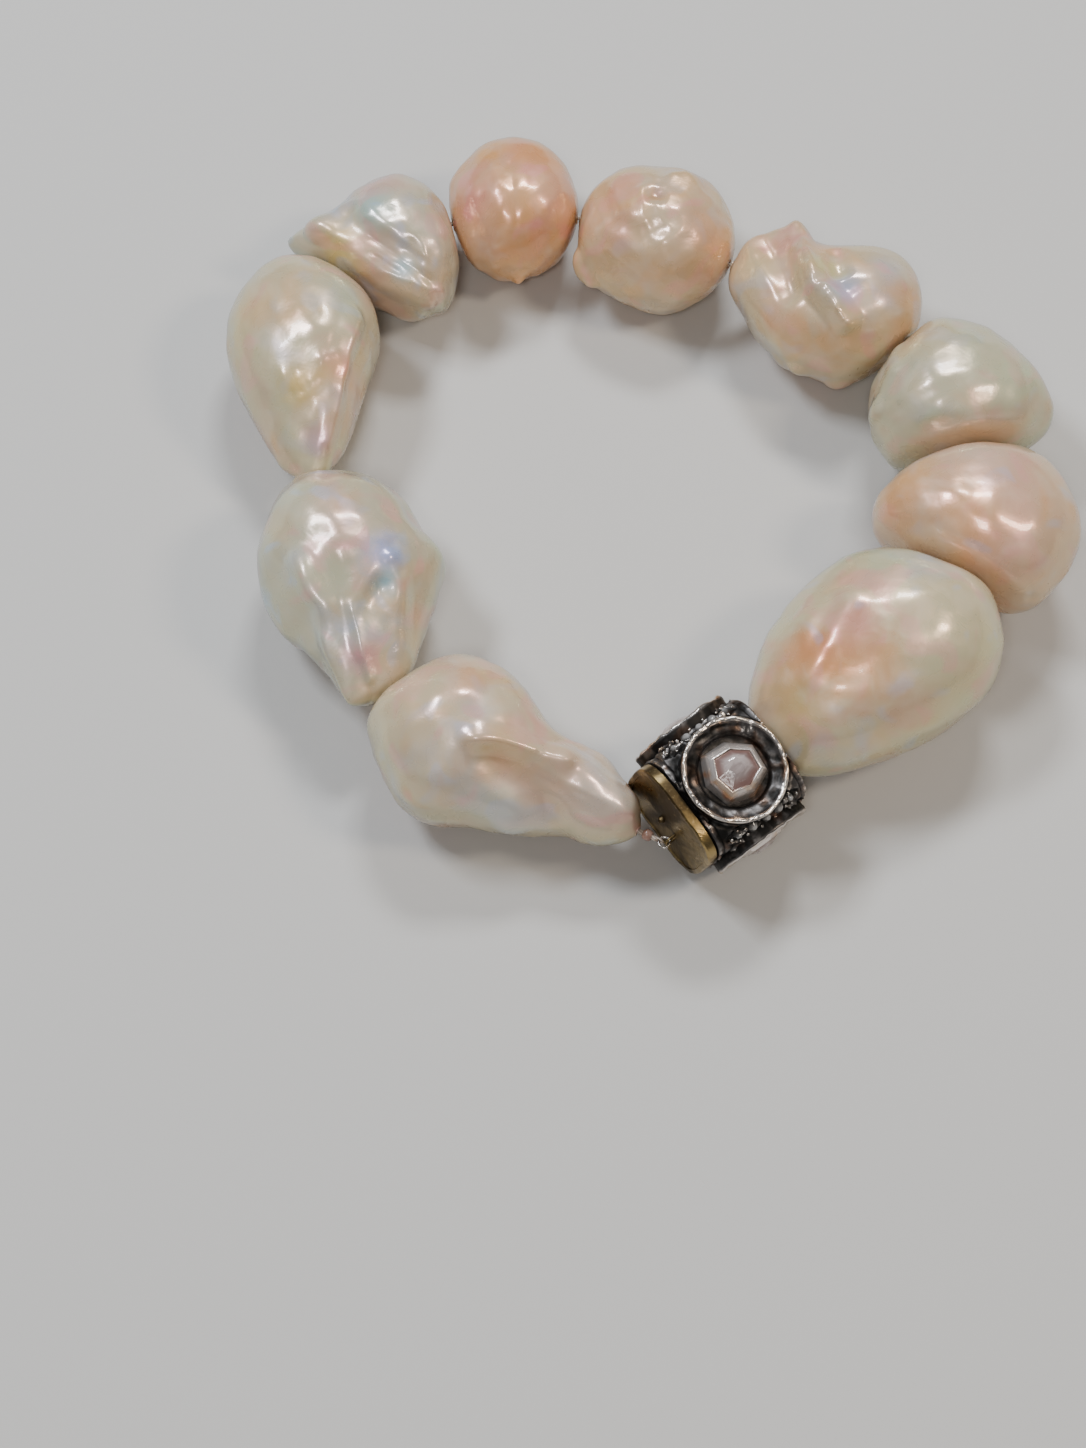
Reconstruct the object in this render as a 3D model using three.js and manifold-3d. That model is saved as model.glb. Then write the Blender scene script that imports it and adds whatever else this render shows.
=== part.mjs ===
// A bracelet of ten baroque pearls and one silver barrel clasp, strung in a closed loop on a flat surface.
// Millimetres, +Z up. The origin is the middle of the loop on the surface.
import * as THREE from "three";
import { mergeVertices } from "three/addons/utils/BufferGeometryUtils.js";
import Module from "manifold-3d";

const wasm = await Module();
wasm.setup();

// The loop over its beads, and the width of its widest pearls
const loopAcross = 86;
const pearlAcross = 20;

// Thread, drilled holes and the gap between a bead and the next
const beadGap = 0.3;
const threadRadius = 0.25;
const threadSides = 8;
const drillClearance = 0.35;
const drillSides = 8;
const knotRadius = 0.6;
const knotClearance = 0.12;

// Fineness of the pearls and round wires, and how near two corners are to be one
const pearlSides = 20;
const pearlRings = 17;
const knotSides = 12;
const knotRings = 8;
const ringSteps = 16;
const weldDistance = 1e-4;

// Clasp: a barrel with a rounded square section, four round medallions and a gold end plate
const claspEndAcross = 11.4;
const claspMiddleAcross = 12.8;
const claspCornerPower = 3.6;
const drumSides = 24;
const drumRows = 6;
const claspRoll = 15;
const plateThickness = 0.9;
const plateSeam = 0.25;
const tongue = { length: 4, width: 4.4, thickness: 1.8, clearance: 0.3 };
const threadBoreDepth = 3.6;

// Medallion: a raised rim round a hollow dish, with a hammered collet and one stone in the middle
const rim = { radiusShare: 0.42, wall: 0.55, bevel: 0.14, proud: 0.55, skirt: 1.9 };
const dishDepth = 0.75;
const collet = { baseRadius: 3.35, topRadius: 2.85, height: 0.95, wall: 0.55, sides: 7 };
const stone = { tableShare: 0.5, girdle: 0.35, crown: 0.75, sides: 8, clearance: 0.15, sunk: 0.45 };

// Band of small stones along each corner of the barrel
const band = { length: 9.2, width: 2.7, proud: 0.2, depth: 1.4, curveSegments: 6 };
const bandStones = { count: 5, radius: 0.62, proud: 0.35, taper: 0.3 };

// Links at the left end: a staple on the plate, a jump ring through it and a loop of the thread in the ring
const staple = { offsetOut: 1.0, offsetDown: 1.8, standOff: 0.96, halfWidth: 0.5, wireRadius: 0.13 };
const linkWireSides = 6;
const jumpRing = { radius: 0.56, wireRadius: 0.12 };
const threadLoop = { radius: 0.36, wireRadius: 0.11 };
const linkClearance = 0.13;
const linkSpan = 2.49;
const solderBall = { radius: 0.4, offsetIn: 0.9, offsetDown: 0.9 };

// The clasp's two ends, and how high its middle stands over the lowest point of its rims
const claspEnd = new THREE.Vector3(0.128, -0.344, 0).multiplyScalar(loopAcross);
const claspStart = new THREE.Vector3(0.017, -0.431, 0).multiplyScalar(loopAcross);
const claspLength = claspEnd.distanceTo(claspStart);
const rimRadius = rim.radiusShare * claspLength;
const rimHeight = claspMiddleAcross / 2 + rim.proud;
const roll = THREE.MathUtils.degToRad(claspRoll);
const claspHeight = rimHeight * Math.cos(roll) + rimRadius * Math.sin(roll);
claspEnd.z = claspHeight;
claspStart.z = claspHeight;

// Route of the beads: where each touches the next, anticlockwise from the clasp's right end to its left end.
// Along and over are shares of the loop's size, and up is a share of the pearls' size.
const meetings = [
  { along: 0.367, over: -0.138, up: 0.475 },
  { along: 0.383, over: 0.036, up: 0.45 },
  { along: 0.314, over: 0.195, up: 0.4 },
  { along: 0.107, over: 0.309, up: 0.375 },
  { along: -0.077, over: 0.381, up: 0.35 },
  { along: -0.233, over: 0.372, up: 0.35 },
  { along: -0.376, over: 0.297, up: 0.375 },
  { along: -0.392, over: 0.01, up: 0.35 },
  { along: -0.3, over: -0.272, up: 0.375 },
];
const lastPearlUp = 0.3;
const route = [
  claspEnd,
  ...meetings.map(
    ({ along, over, up }) => new THREE.Vector3(along * loopAcross, over * loopAcross, up * pearlAcross),
  ),
  new THREE.Vector3(claspStart.x - linkSpan, claspStart.y, lastPearlUp * pearlAcross),
  claspStart,
];
const pearlCount = route.length - 2;

// Each pearl spans two points of the route. Its width and height are shares of the pearls' size. A section at
// a share of its length reaches inner and outer, as shares of its width, to either side of the line between
// the points, and lies between bottom and top, as shares of its height above the surface. A lump or a fold is
// placed by share of length and by turn in degrees: 0 is up and 90 is outwards. Its spread and rise are
// shares of the width.
const pearls = [
  {
    colour: "#e8ddc6",
    width: 1,
    height: 0.9,
    sections: [
      { at: 0.03, inner: 0.17, outer: 0.16, top: 0.61, bottom: 0.28 },
      { at: 0.08, inner: 0.25, outer: 0.23, top: 0.7, bottom: 0.19 },
      { at: 0.18, inner: 0.34, outer: 0.33, top: 0.81, bottom: 0.1 },
      { at: 0.28, inner: 0.41, outer: 0.39, top: 0.89, bottom: 0.04 },
      { at: 0.41, inner: 0.46, outer: 0.46, top: 0.96, bottom: 0 },
      { at: 0.52, inner: 0.49, outer: 0.49, top: 0.99, bottom: 0 },
      { at: 0.65, inner: 0.5, outer: 0.49, top: 1, bottom: 0 },
      { at: 0.79, inner: 0.5, outer: 0.41, top: 0.97, bottom: 0.02 },
      { at: 0.88, inner: 0.47, outer: 0.3, top: 0.9, bottom: 0.08 },
      { at: 0.96, inner: 0.4, outer: 0.17, top: 0.77, bottom: 0.21 },
    ],
    lumps: [],
    folds: [
      {
        stops: [
          { at: 0.56, turn: -24 },
          { at: 0.37, turn: -12 },
          { at: 0.23, turn: -6 },
        ],
        spread: 0.09,
        rise: 0.012,
      },
    ],
  },
  {
    colour: "#ecd3bd",
    width: 1.025,
    height: 0.85,
    sections: [
      { at: 0.02, inner: 0.22, outer: 0.22, top: 0.8, bottom: 0.3 },
      { at: 0.08, inner: 0.35, outer: 0.33, top: 0.88, bottom: 0.17 },
      { at: 0.18, inner: 0.45, outer: 0.41, top: 0.95, bottom: 0.06 },
      { at: 0.33, inner: 0.47, outer: 0.49, top: 1, bottom: 0 },
      { at: 0.48, inner: 0.47, outer: 0.53, top: 1, bottom: 0 },
      { at: 0.63, inner: 0.44, outer: 0.5, top: 0.98, bottom: 0 },
      { at: 0.78, inner: 0.39, outer: 0.42, top: 0.93, bottom: 0.05 },
      { at: 0.9, inner: 0.3, outer: 0.31, top: 0.82, bottom: 0.18 },
      { at: 0.97, inner: 0.18, outer: 0.18, top: 0.7, bottom: 0.33 },
    ],
    lumps: [],
    folds: [],
  },
  {
    colour: "#dcd8c8",
    width: 0.895,
    height: 0.825,
    sections: [
      { at: 0.02, inner: 0.26, outer: 0.3, top: 0.8, bottom: 0.28 },
      { at: 0.08, inner: 0.36, outer: 0.45, top: 0.89, bottom: 0.15 },
      { at: 0.18, inner: 0.42, outer: 0.54, top: 0.96, bottom: 0.05 },
      { at: 0.33, inner: 0.44, outer: 0.56, top: 1, bottom: 0 },
      { at: 0.48, inner: 0.44, outer: 0.54, top: 1, bottom: 0 },
      { at: 0.62, inner: 0.41, outer: 0.48, top: 0.97, bottom: 0.01 },
      { at: 0.76, inner: 0.38, outer: 0.38, top: 0.9, bottom: 0.08 },
      { at: 0.88, inner: 0.32, outer: 0.27, top: 0.78, bottom: 0.2 },
      { at: 0.96, inner: 0.22, outer: 0.16, top: 0.65, bottom: 0.33 },
    ],
    lumps: [
      { at: 0.82, turn: 12, spread: 0.18, rise: 0.035 },
      { at: 0.56, turn: -75, spread: 0.14, rise: 0.04 },
    ],
    folds: [],
  },
  {
    colour: "#e6d6bf",
    width: 0.8,
    height: 0.725,
    sections: [
      { at: 0.02, inner: 0.2, outer: 0.15, top: 0.72, bottom: 0.36 },
      { at: 0.07, inner: 0.34, outer: 0.25, top: 0.86, bottom: 0.2 },
      { at: 0.15, inner: 0.43, outer: 0.39, top: 0.95, bottom: 0.07 },
      { at: 0.27, inner: 0.45, outer: 0.5, top: 1, bottom: 0 },
      { at: 0.38, inner: 0.47, outer: 0.52, top: 1, bottom: 0 },
      { at: 0.49, inner: 0.47, outer: 0.47, top: 0.97, bottom: 0 },
      { at: 0.6, inner: 0.41, outer: 0.38, top: 0.92, bottom: 0.03 },
      { at: 0.72, inner: 0.35, outer: 0.36, top: 0.86, bottom: 0.1 },
      { at: 0.85, inner: 0.26, outer: 0.29, top: 0.78, bottom: 0.23 },
      { at: 0.95, inner: 0.16, outer: 0.17, top: 0.67, bottom: 0.38 },
    ],
    lumps: [
      { at: 0.78, turn: 45, spread: 0.15, rise: 0.07 },
      { at: 0.9, turn: 36, spread: 0.2, rise: 0.05 },
      { at: 0.14, turn: -120, spread: 0.12, rise: 0.03 },
      { at: 0.36, turn: -102, spread: 0.12, rise: 0.03 },
    ],
    folds: [
      {
        stops: [
          { at: 0.72, turn: 40 },
          { at: 0.61, turn: 6 },
          { at: 0.43, turn: -18 },
          { at: 0.29, turn: -27 },
          { at: 0.21, turn: -33 },
        ],
        spread: 0.11,
        rise: 0.07,
      },
      {
        stops: [
          { at: 0.85, turn: 20 },
          { at: 0.75, turn: 0 },
          { at: 0.59, turn: -27 },
        ],
        spread: 0.12,
        rise: -0.05,
      },
    ],
  },
  {
    colour: "#e9cfae",
    width: 0.78,
    height: 0.73,
    sections: [
      { at: 0.02, inner: 0.13, outer: 0.15, top: 0.66, bottom: 0.37 },
      { at: 0.06, inner: 0.22, outer: 0.27, top: 0.75, bottom: 0.28 },
      { at: 0.13, inner: 0.31, outer: 0.37, top: 0.85, bottom: 0.17 },
      { at: 0.23, inner: 0.4, outer: 0.46, top: 0.94, bottom: 0.06 },
      { at: 0.34, inner: 0.45, outer: 0.52, top: 1, bottom: 0 },
      { at: 0.46, inner: 0.46, outer: 0.53, top: 1, bottom: 0 },
      { at: 0.58, inner: 0.45, outer: 0.48, top: 0.99, bottom: 0 },
      { at: 0.7, inner: 0.44, outer: 0.44, top: 0.95, bottom: 0.02 },
      { at: 0.81, inner: 0.42, outer: 0.37, top: 0.88, bottom: 0.07 },
      { at: 0.91, inner: 0.38, outer: 0.25, top: 0.77, bottom: 0.2 },
      { at: 0.97, inner: 0.27, outer: 0.14, top: 0.64, bottom: 0.33 },
    ],
    lumps: [
      { at: 0.4, turn: 33, spread: 0.16, rise: 0.06 },
      { at: 0.95, turn: -99, spread: 0.12, rise: 0.06 },
      { at: 0.87, turn: -99, spread: 0.12, rise: 0.05 },
      { at: 0.52, turn: 6, spread: 0.1, rise: -0.03 },
    ],
    folds: [
      {
        stops: [
          { at: 0.87, turn: 12 },
          { at: 0.76, turn: -21 },
          { at: 0.54, turn: -33 },
          { at: 0.38, turn: -15 },
        ],
        spread: 0.1,
        rise: -0.02,
      },
    ],
  },
  {
    colour: "#e8c7a6",
    width: 0.74,
    height: 0.68,
    sections: [
      { at: 0.02, inner: 0.12, outer: 0.15, top: 0.66, bottom: 0.37 },
      { at: 0.07, inner: 0.23, outer: 0.28, top: 0.78, bottom: 0.25 },
      { at: 0.16, inner: 0.3, outer: 0.42, top: 0.89, bottom: 0.12 },
      { at: 0.3, inner: 0.36, outer: 0.58, top: 0.97, bottom: 0.02 },
      { at: 0.45, inner: 0.39, outer: 0.64, top: 1, bottom: 0 },
      { at: 0.58, inner: 0.4, outer: 0.63, top: 1, bottom: 0 },
      { at: 0.7, inner: 0.39, outer: 0.58, top: 0.96, bottom: 0.02 },
      { at: 0.82, inner: 0.35, outer: 0.46, top: 0.88, bottom: 0.11 },
      { at: 0.92, inner: 0.31, outer: 0.35, top: 0.77, bottom: 0.24 },
      { at: 0.98, inner: 0.2, outer: 0.18, top: 0.63, bottom: 0.4 },
    ],
    lumps: [
      { at: 0.5, turn: -108, spread: 0.12, rise: 0.07 },
    ],
    folds: [
      {
        stops: [
          { at: 0.55, turn: 36 },
          { at: 0.53, turn: -6 },
          { at: 0.5, turn: -72 },
        ],
        spread: 0.1,
        rise: -0.02,
      },
    ],
  },
  {
    colour: "#ddd6c9",
    width: 0.81,
    height: 0.72,
    sections: [
      { at: 0.02, inner: 0.24, outer: 0.17, top: 0.66, bottom: 0.32 },
      { at: 0.08, inner: 0.35, outer: 0.28, top: 0.78, bottom: 0.2 },
      { at: 0.17, inner: 0.43, outer: 0.38, top: 0.88, bottom: 0.1 },
      { at: 0.3, inner: 0.49, outer: 0.46, top: 0.97, bottom: 0.01 },
      { at: 0.45, inner: 0.53, outer: 0.46, top: 1, bottom: 0 },
      { at: 0.58, inner: 0.53, outer: 0.41, top: 1, bottom: 0 },
      { at: 0.7, inner: 0.51, outer: 0.37, top: 0.97, bottom: 0.02 },
      { at: 0.82, inner: 0.47, outer: 0.34, top: 0.9, bottom: 0.08 },
      { at: 0.92, inner: 0.4, outer: 0.29, top: 0.8, bottom: 0.2 },
      { at: 0.98, inner: 0.26, outer: 0.18, top: 0.67, bottom: 0.36 },
    ],
    lumps: [
      { at: 0.88, turn: 33, spread: 0.16, rise: 0.04 },
      { at: 0.83, turn: -114, spread: 0.2, rise: 0.04 },
    ],
    folds: [
      {
        stops: [
          { at: 0.87, turn: 36 },
          { at: 0.94, turn: 0 },
          { at: 0.93, turn: -60 },
          { at: 0.72, turn: -78 },
        ],
        spread: 0.12,
        rise: 0.05,
      },
      {
        stops: [
          { at: 0.73, turn: 24 },
          { at: 0.73, turn: -12 },
          { at: 0.59, turn: -33 },
        ],
        spread: 0.14,
        rise: -0.04,
      },
    ],
  },
  {
    colour: "#e3dcc6",
    width: 0.785,
    height: 0.74,
    sections: [
      { at: 0.02, inner: 0.2, outer: 0.2, top: 0.68, bottom: 0.34 },
      { at: 0.06, inner: 0.28, outer: 0.3, top: 0.8, bottom: 0.22 },
      { at: 0.12, inner: 0.33, outer: 0.42, top: 0.89, bottom: 0.11 },
      { at: 0.21, inner: 0.35, outer: 0.53, top: 0.96, bottom: 0.03 },
      { at: 0.31, inner: 0.34, outer: 0.62, top: 1, bottom: 0 },
      { at: 0.41, inner: 0.32, outer: 0.66, top: 1, bottom: 0 },
      { at: 0.51, inner: 0.28, outer: 0.64, top: 0.98, bottom: 0 },
      { at: 0.62, inner: 0.25, outer: 0.55, top: 0.93, bottom: 0.04 },
      { at: 0.73, inner: 0.23, outer: 0.43, top: 0.85, bottom: 0.11 },
      { at: 0.84, inner: 0.19, outer: 0.3, top: 0.74, bottom: 0.21 },
      { at: 0.94, inner: 0.12, outer: 0.16, top: 0.61, bottom: 0.34 },
    ],
    lumps: [],
    folds: [
      {
        stops: [
          { at: 0.4, turn: -33 },
          { at: 0.64, turn: -33 },
          { at: 0.88, turn: -27 },
          { at: 0.96, turn: -33 },
        ],
        spread: 0.12,
        rise: 0.045,
      },
      {
        stops: [
          { at: 0.57, turn: 12 },
          { at: 0.49, turn: -27 },
        ],
        spread: 0.1,
        rise: -0.015,
      },
    ],
  },
  {
    colour: "#dfdccf",
    width: 0.89,
    height: 0.82,
    sections: [
      { at: 0.02, inner: 0.22, outer: 0.12, top: 0.62, bottom: 0.28 },
      { at: 0.06, inner: 0.33, outer: 0.2, top: 0.74, bottom: 0.2 },
      { at: 0.13, inner: 0.41, outer: 0.3, top: 0.86, bottom: 0.1 },
      { at: 0.24, inner: 0.46, outer: 0.41, top: 0.96, bottom: 0.01 },
      { at: 0.35, inner: 0.49, outer: 0.47, top: 1, bottom: 0 },
      { at: 0.46, inner: 0.52, outer: 0.47, top: 1, bottom: 0 },
      { at: 0.56, inner: 0.53, outer: 0.43, top: 0.98, bottom: 0 },
      { at: 0.64, inner: 0.51, outer: 0.35, top: 0.93, bottom: 0.02 },
      { at: 0.72, inner: 0.45, outer: 0.3, top: 0.85, bottom: 0.06 },
      { at: 0.8, inner: 0.38, outer: 0.26, top: 0.77, bottom: 0.12 },
      { at: 0.88, inner: 0.31, outer: 0.22, top: 0.68, bottom: 0.2 },
      { at: 0.96, inner: 0.21, outer: 0.14, top: 0.58, bottom: 0.31 },
    ],
    lumps: [
      { at: 0.63, turn: -75, spread: 0.17, rise: 0.045 },
      { at: 0.58, turn: 9, spread: 0.2, rise: -0.05 },
      { at: 0.7, turn: -15, spread: 0.12, rise: -0.03 },
    ],
    folds: [
      {
        stops: [
          { at: 0.47, turn: 33 },
          { at: 0.64, turn: 33 },
          { at: 0.74, turn: 48 },
          { at: 0.94, turn: 70 },
        ],
        spread: 0.11,
        rise: 0.04,
      },
      {
        stops: [
          { at: 0.62, turn: -30 },
          { at: 0.88, turn: -30 },
        ],
        spread: 0.12,
        rise: 0.03,
      },
    ],
  },
  {
    colour: "#e6dfcd",
    width: 0.85,
    height: 0.79,
    sections: [
      { at: 0.02, inner: 0.33, outer: 0.12, top: 0.68, bottom: 0.28 },
      { at: 0.06, inner: 0.42, outer: 0.23, top: 0.8, bottom: 0.18 },
      { at: 0.13, inner: 0.45, outer: 0.34, top: 0.9, bottom: 0.08 },
      { at: 0.23, inner: 0.45, outer: 0.45, top: 0.99, bottom: 0 },
      { at: 0.33, inner: 0.42, outer: 0.53, top: 1, bottom: 0 },
      { at: 0.42, inner: 0.37, outer: 0.54, top: 0.97, bottom: 0 },
      { at: 0.52, inner: 0.3, outer: 0.45, top: 0.88, bottom: 0.02 },
      { at: 0.61, inner: 0.26, outer: 0.4, top: 0.8, bottom: 0.05 },
      { at: 0.69, inner: 0.28, outer: 0.32, top: 0.74, bottom: 0.07 },
      { at: 0.77, inner: 0.28, outer: 0.23, top: 0.7, bottom: 0.1 },
      { at: 0.85, inner: 0.23, outer: 0.21, top: 0.63, bottom: 0.14 },
      { at: 0.92, inner: 0.18, outer: 0.17, top: 0.56, bottom: 0.2 },
      { at: 0.975, inner: 0.09, outer: 0.09, top: 0.47, bottom: 0.29 },
    ],
    lumps: [
      { at: 0.65, turn: 84, spread: 0.14, rise: 0.03 },
    ],
    folds: [
      {
        stops: [
          { at: 0.44, turn: 15 },
          { at: 0.55, turn: 3 },
          { at: 0.68, turn: -3 },
        ],
        spread: 0.12,
        rise: 0.04,
      },
      {
        stops: [
          { at: 0.5, turn: 24 },
          { at: 0.65, turn: 33 },
          { at: 0.73, turn: 60 },
        ],
        spread: 0.14,
        rise: -0.06,
      },
      {
        stops: [
          { at: 0.69, turn: -9 },
          { at: 0.83, turn: -6 },
          { at: 0.93, turn: -15 },
        ],
        spread: 0.16,
        rise: 0.06,
      },
    ],
  },
];

// Colours and finishes
const pearlFinish = { roughness: 0.28, metalness: 0 };
const silver = new THREE.MeshStandardMaterial({ color: "#4b4744", roughness: 0.35, metalness: 1 });
const gold = new THREE.MeshStandardMaterial({ color: "#a08450", roughness: 0.35, metalness: 1 });
const silk = new THREE.MeshStandardMaterial({ color: "#d8c6b4", roughness: 0.8, metalness: 0 });
const resin = new THREE.MeshStandardMaterial({ color: "#a9806c", roughness: 0.4, metalness: 0 });
const diamond = new THREE.MeshStandardMaterial({ color: "#b3a6a4", roughness: 0.1, metalness: 0 });

// Shared corners only, with no seams left from normals or texture coordinates
function weldedOf(geometry) {
  const bare = geometry.clone();
  bare.deleteAttribute("normal");
  bare.deleteAttribute("uv");
  return mergeVertices(bare, weldDistance);
}

// Solids for joining and cutting, and the way back to a geometry
function solidOf(geometry) {
  const merged = weldedOf(geometry);
  const mesh = new wasm.Mesh({
    numProp: 3,
    vertProperties: new Float32Array(merged.attributes.position.array),
    triVerts: new Uint32Array(merged.index.array),
  });
  return new wasm.Manifold(mesh);
}

function geometryOf(solid) {
  const mesh = solid.getMesh();
  const geometry = new THREE.BufferGeometry();
  geometry.setAttribute("position", new THREE.BufferAttribute(mesh.vertProperties, 3));
  geometry.setIndex(new THREE.BufferAttribute(mesh.triVerts, 1));
  geometry.computeVertexNormals();
  return geometry;
}

function namedMesh(name, geometry, material) {
  const mesh = new THREE.Mesh(geometry, material);
  mesh.name = name;
  return mesh;
}

// A path of straight stretches, sampled at its own corners
class CorneredPath extends THREE.Curve {
  constructor(corners) {
    super();
    this.corners = corners;
  }
  getPoint(t, target = new THREE.Vector3()) {
    const stretches = this.corners.length - 1;
    const place = Math.min(t * stretches, stretches - 1e-9);
    const index = Math.floor(place);
    return target.lerpVectors(this.corners[index], this.corners[index + 1], place - index);
  }
  getPointAt(t, target) {
    return this.getPoint(t, target);
  }
  getTangentAt(t, target = new THREE.Vector3()) {
    const step = 0.5 / (this.corners.length - 1);
    const before = this.getPoint(Math.max(t - step, 0));
    const after = this.getPoint(Math.min(t + step, 1));
    return target.subVectors(after, before).normalize();
  }
}

function wireAlong(corners, radius, sides) {
  const circle = new THREE.Path().absarc(0, 0, radius, 0, 2 * Math.PI);
  const section = new THREE.Shape(circle.getPoints(sides / 2));
  const steps = corners.length - 1;
  return new THREE.ExtrudeGeometry(section, { steps, extrudePath: new CorneredPath(corners) });
}

// A round rod between two points
function rodBetween(start, end, radius, sides) {
  const along = new THREE.Vector3().subVectors(end, start);
  const rod = new THREE.CylinderGeometry(radius, radius, along.length(), sides);
  const pose = new THREE.Quaternion().setFromUnitVectors(THREE.Object3D.DEFAULT_UP, along.normalize());
  rod.applyQuaternion(pose);
  rod.translate((start.x + end.x) / 2, (start.y + end.y) / 2, (start.z + end.z) / 2);
  return rod;
}

function headingBetween(start, end) {
  return Math.atan2(end.y - start.y, end.x - start.x);
}

// How far a pearl reaches inwards, outwards, up and down along its length, by the angle of a sphere's ring
function reachesOf(pearl, start, end) {
  const width = pearl.width * pearlAcross;
  const height = pearl.height * pearlAcross;
  const angles = [0];
  const reaches = [0, 0, 0, 0];
  for (const section of pearl.sections) {
    const middle = THREE.MathUtils.lerp(start.z, end.z, section.at);
    angles.push(Math.acos(1 - 2 * section.at));
    reaches.push(section.inner * width, section.outer * width);
    reaches.push(section.top * height - middle, middle - section.bottom * height);
  }
  angles.push(Math.PI);
  reaches.push(0, 0, 0, 0);
  return new THREE.CubicInterpolant(angles, reaches, 4);
}

// The upright pearl before it leans: x runs along it, y inwards and z up from the line between its two ends
function uprightPoint(reach, length, unit) {
  const [inner, outer, up, down] = reach.evaluate(Math.acos(-unit.x));
  const ring = Math.hypot(unit.y, unit.z) || 1;
  return new THREE.Vector3(
    beadGap / 2 + ((1 + unit.x) / 2) * (length - beadGap),
    (unit.y / ring) * (unit.y > 0 ? inner : outer),
    (unit.z / ring) * (unit.z > 0 ? up : down),
  );
}

function unitAt({ at, turn }) {
  const x = 2 * at - 1;
  const ring = Math.sqrt(1 - x * x);
  const angle = THREE.MathUtils.degToRad(turn);
  return new THREE.Vector3(x, -Math.sin(angle) * ring, Math.cos(angle) * ring);
}

// The rise that a lump or fold gives to a point, falling smoothly to nothing at its spread
function riseAt(point, marks) {
  const nearest = new THREE.Vector3();
  let rise = 0;
  for (const mark of marks) {
    let distance = mark.spread;
    for (const line of mark.stretches) {
      line.closestPointToPoint(point, true, nearest);
      distance = Math.min(distance, nearest.distanceTo(point));
    }
    const share = distance / mark.spread;
    rise += mark.rise * (1 - share * share) ** 2;
  }
  return rise;
}

// Lumps and folds as lines on the upright pearl, in millimetres
function marksOf(pearl, reach, length) {
  const width = pearl.width * pearlAcross;
  const lumps = pearl.lumps.map((lump) => ({ ...lump, stops: [lump, lump] }));
  return [...lumps, ...pearl.folds].map((mark) => {
    const stops = mark.stops.map((stop) => uprightPoint(reach, length, unitAt(stop)));
    const stretches = stops.slice(1).map((stop, i) => new THREE.Line3(stops[i], stop));
    return { stretches, spread: mark.spread * width, rise: mark.rise * width };
  });
}

// A pearl between two points of the route. Each end leans into the plane that halves the turn there.
function pearlGeometry(pearl, start, end, leanStart, leanEnd) {
  const length = Math.hypot(end.x - start.x, end.y - start.y);
  const reach = reachesOf(pearl, start, end);
  const marks = marksOf(pearl, reach, length);
  const geometry = weldedOf(new THREE.SphereGeometry(1, pearlSides, pearlRings).rotateZ(-Math.PI / 2));
  const position = geometry.attributes.position;
  const vertex = new THREE.Vector3();
  for (let i = 0; i < position.count; i++) {
    const point = uprightPoint(reach, length, vertex.fromBufferAttribute(position, i));
    position.setXYZ(i, point.x, point.y, point.z);
  }
  geometry.computeVertexNormals();
  const normal = new THREE.Vector3();
  for (let i = 0; i < position.count; i++) {
    const point = vertex.fromBufferAttribute(position, i);
    normal.fromBufferAttribute(geometry.attributes.normal, i);
    point.addScaledVector(normal, riseAt(point, marks));
    point.x = THREE.MathUtils.clamp(point.x, beadGap / 2, length - beadGap / 2);
    const at = point.x / length;
    const middle = THREE.MathUtils.lerp(start.z, end.z, at);
    const lean = Math.tan(leanStart) * (1 - at) - Math.tan(leanEnd) * at;
    position.setXYZ(i, point.x + point.y * lean, point.y, Math.max(middle + point.z, 0));
  }
  geometry.rotateZ(headingBetween(start, end)).translate(start.x, start.y, 0);
  const along = new THREE.Vector3().subVectors(end, start).normalize();
  const before = start.clone().addScaledVector(along, -beadGap);
  const after = end.clone().addScaledVector(along, beadGap);
  const drill = rodBetween(before, after, threadRadius + drillClearance, drillSides);
  return geometryOf(solidOf(geometry).subtract(solidOf(drill)));
}

// How far the route turns to the left at one of its points, in radians
function turnAt(index) {
  const count = route.length;
  const here = route[index];
  const before = headingBetween(route[(index + count - 1) % count], here);
  const after = headingBetween(here, route[(index + 1) % count]);
  return THREE.MathUtils.euclideanModulo(after - before + Math.PI, 2 * Math.PI) - Math.PI;
}

// The first pearl lies flat against the end of the clasp, and the last ends square to its own line
function makePearls() {
  const group = new THREE.Group();
  for (const [i, pearl] of pearls.entries()) {
    const leanStart = i === 0 ? turnAt(0) : turnAt(i) / 2;
    const leanEnd = i === pearlCount - 1 ? 0 : turnAt(i + 1) / 2;
    const geometry = pearlGeometry(pearl, route[i], route[i + 1], leanStart, leanEnd);
    const material = new THREE.MeshStandardMaterial({ color: pearl.colour, ...pearlFinish });
    group.add(namedMesh("pearl_" + String(i + 1).padStart(2, "0"), geometry, material));
  }
  return group;
}

// The clasp is built in its own frame: x runs along it from its left end, y inwards and z up
const bodyStart = beadGap / 2 + plateThickness + plateSeam;
const bodyLength = claspLength - beadGap / 2 - bodyStart;
const bodyMiddle = bodyStart + bodyLength / 2;
const cornerShare = 2 ** (1 / 2 - 1 / claspCornerPower);

function halfAcrossAt(x) {
  const share = Math.min(Math.abs((2 * x) / bodyLength), 1);
  return THREE.MathUtils.lerp(claspMiddleAcross, claspEndAcross, share * share) / 2;
}

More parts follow.
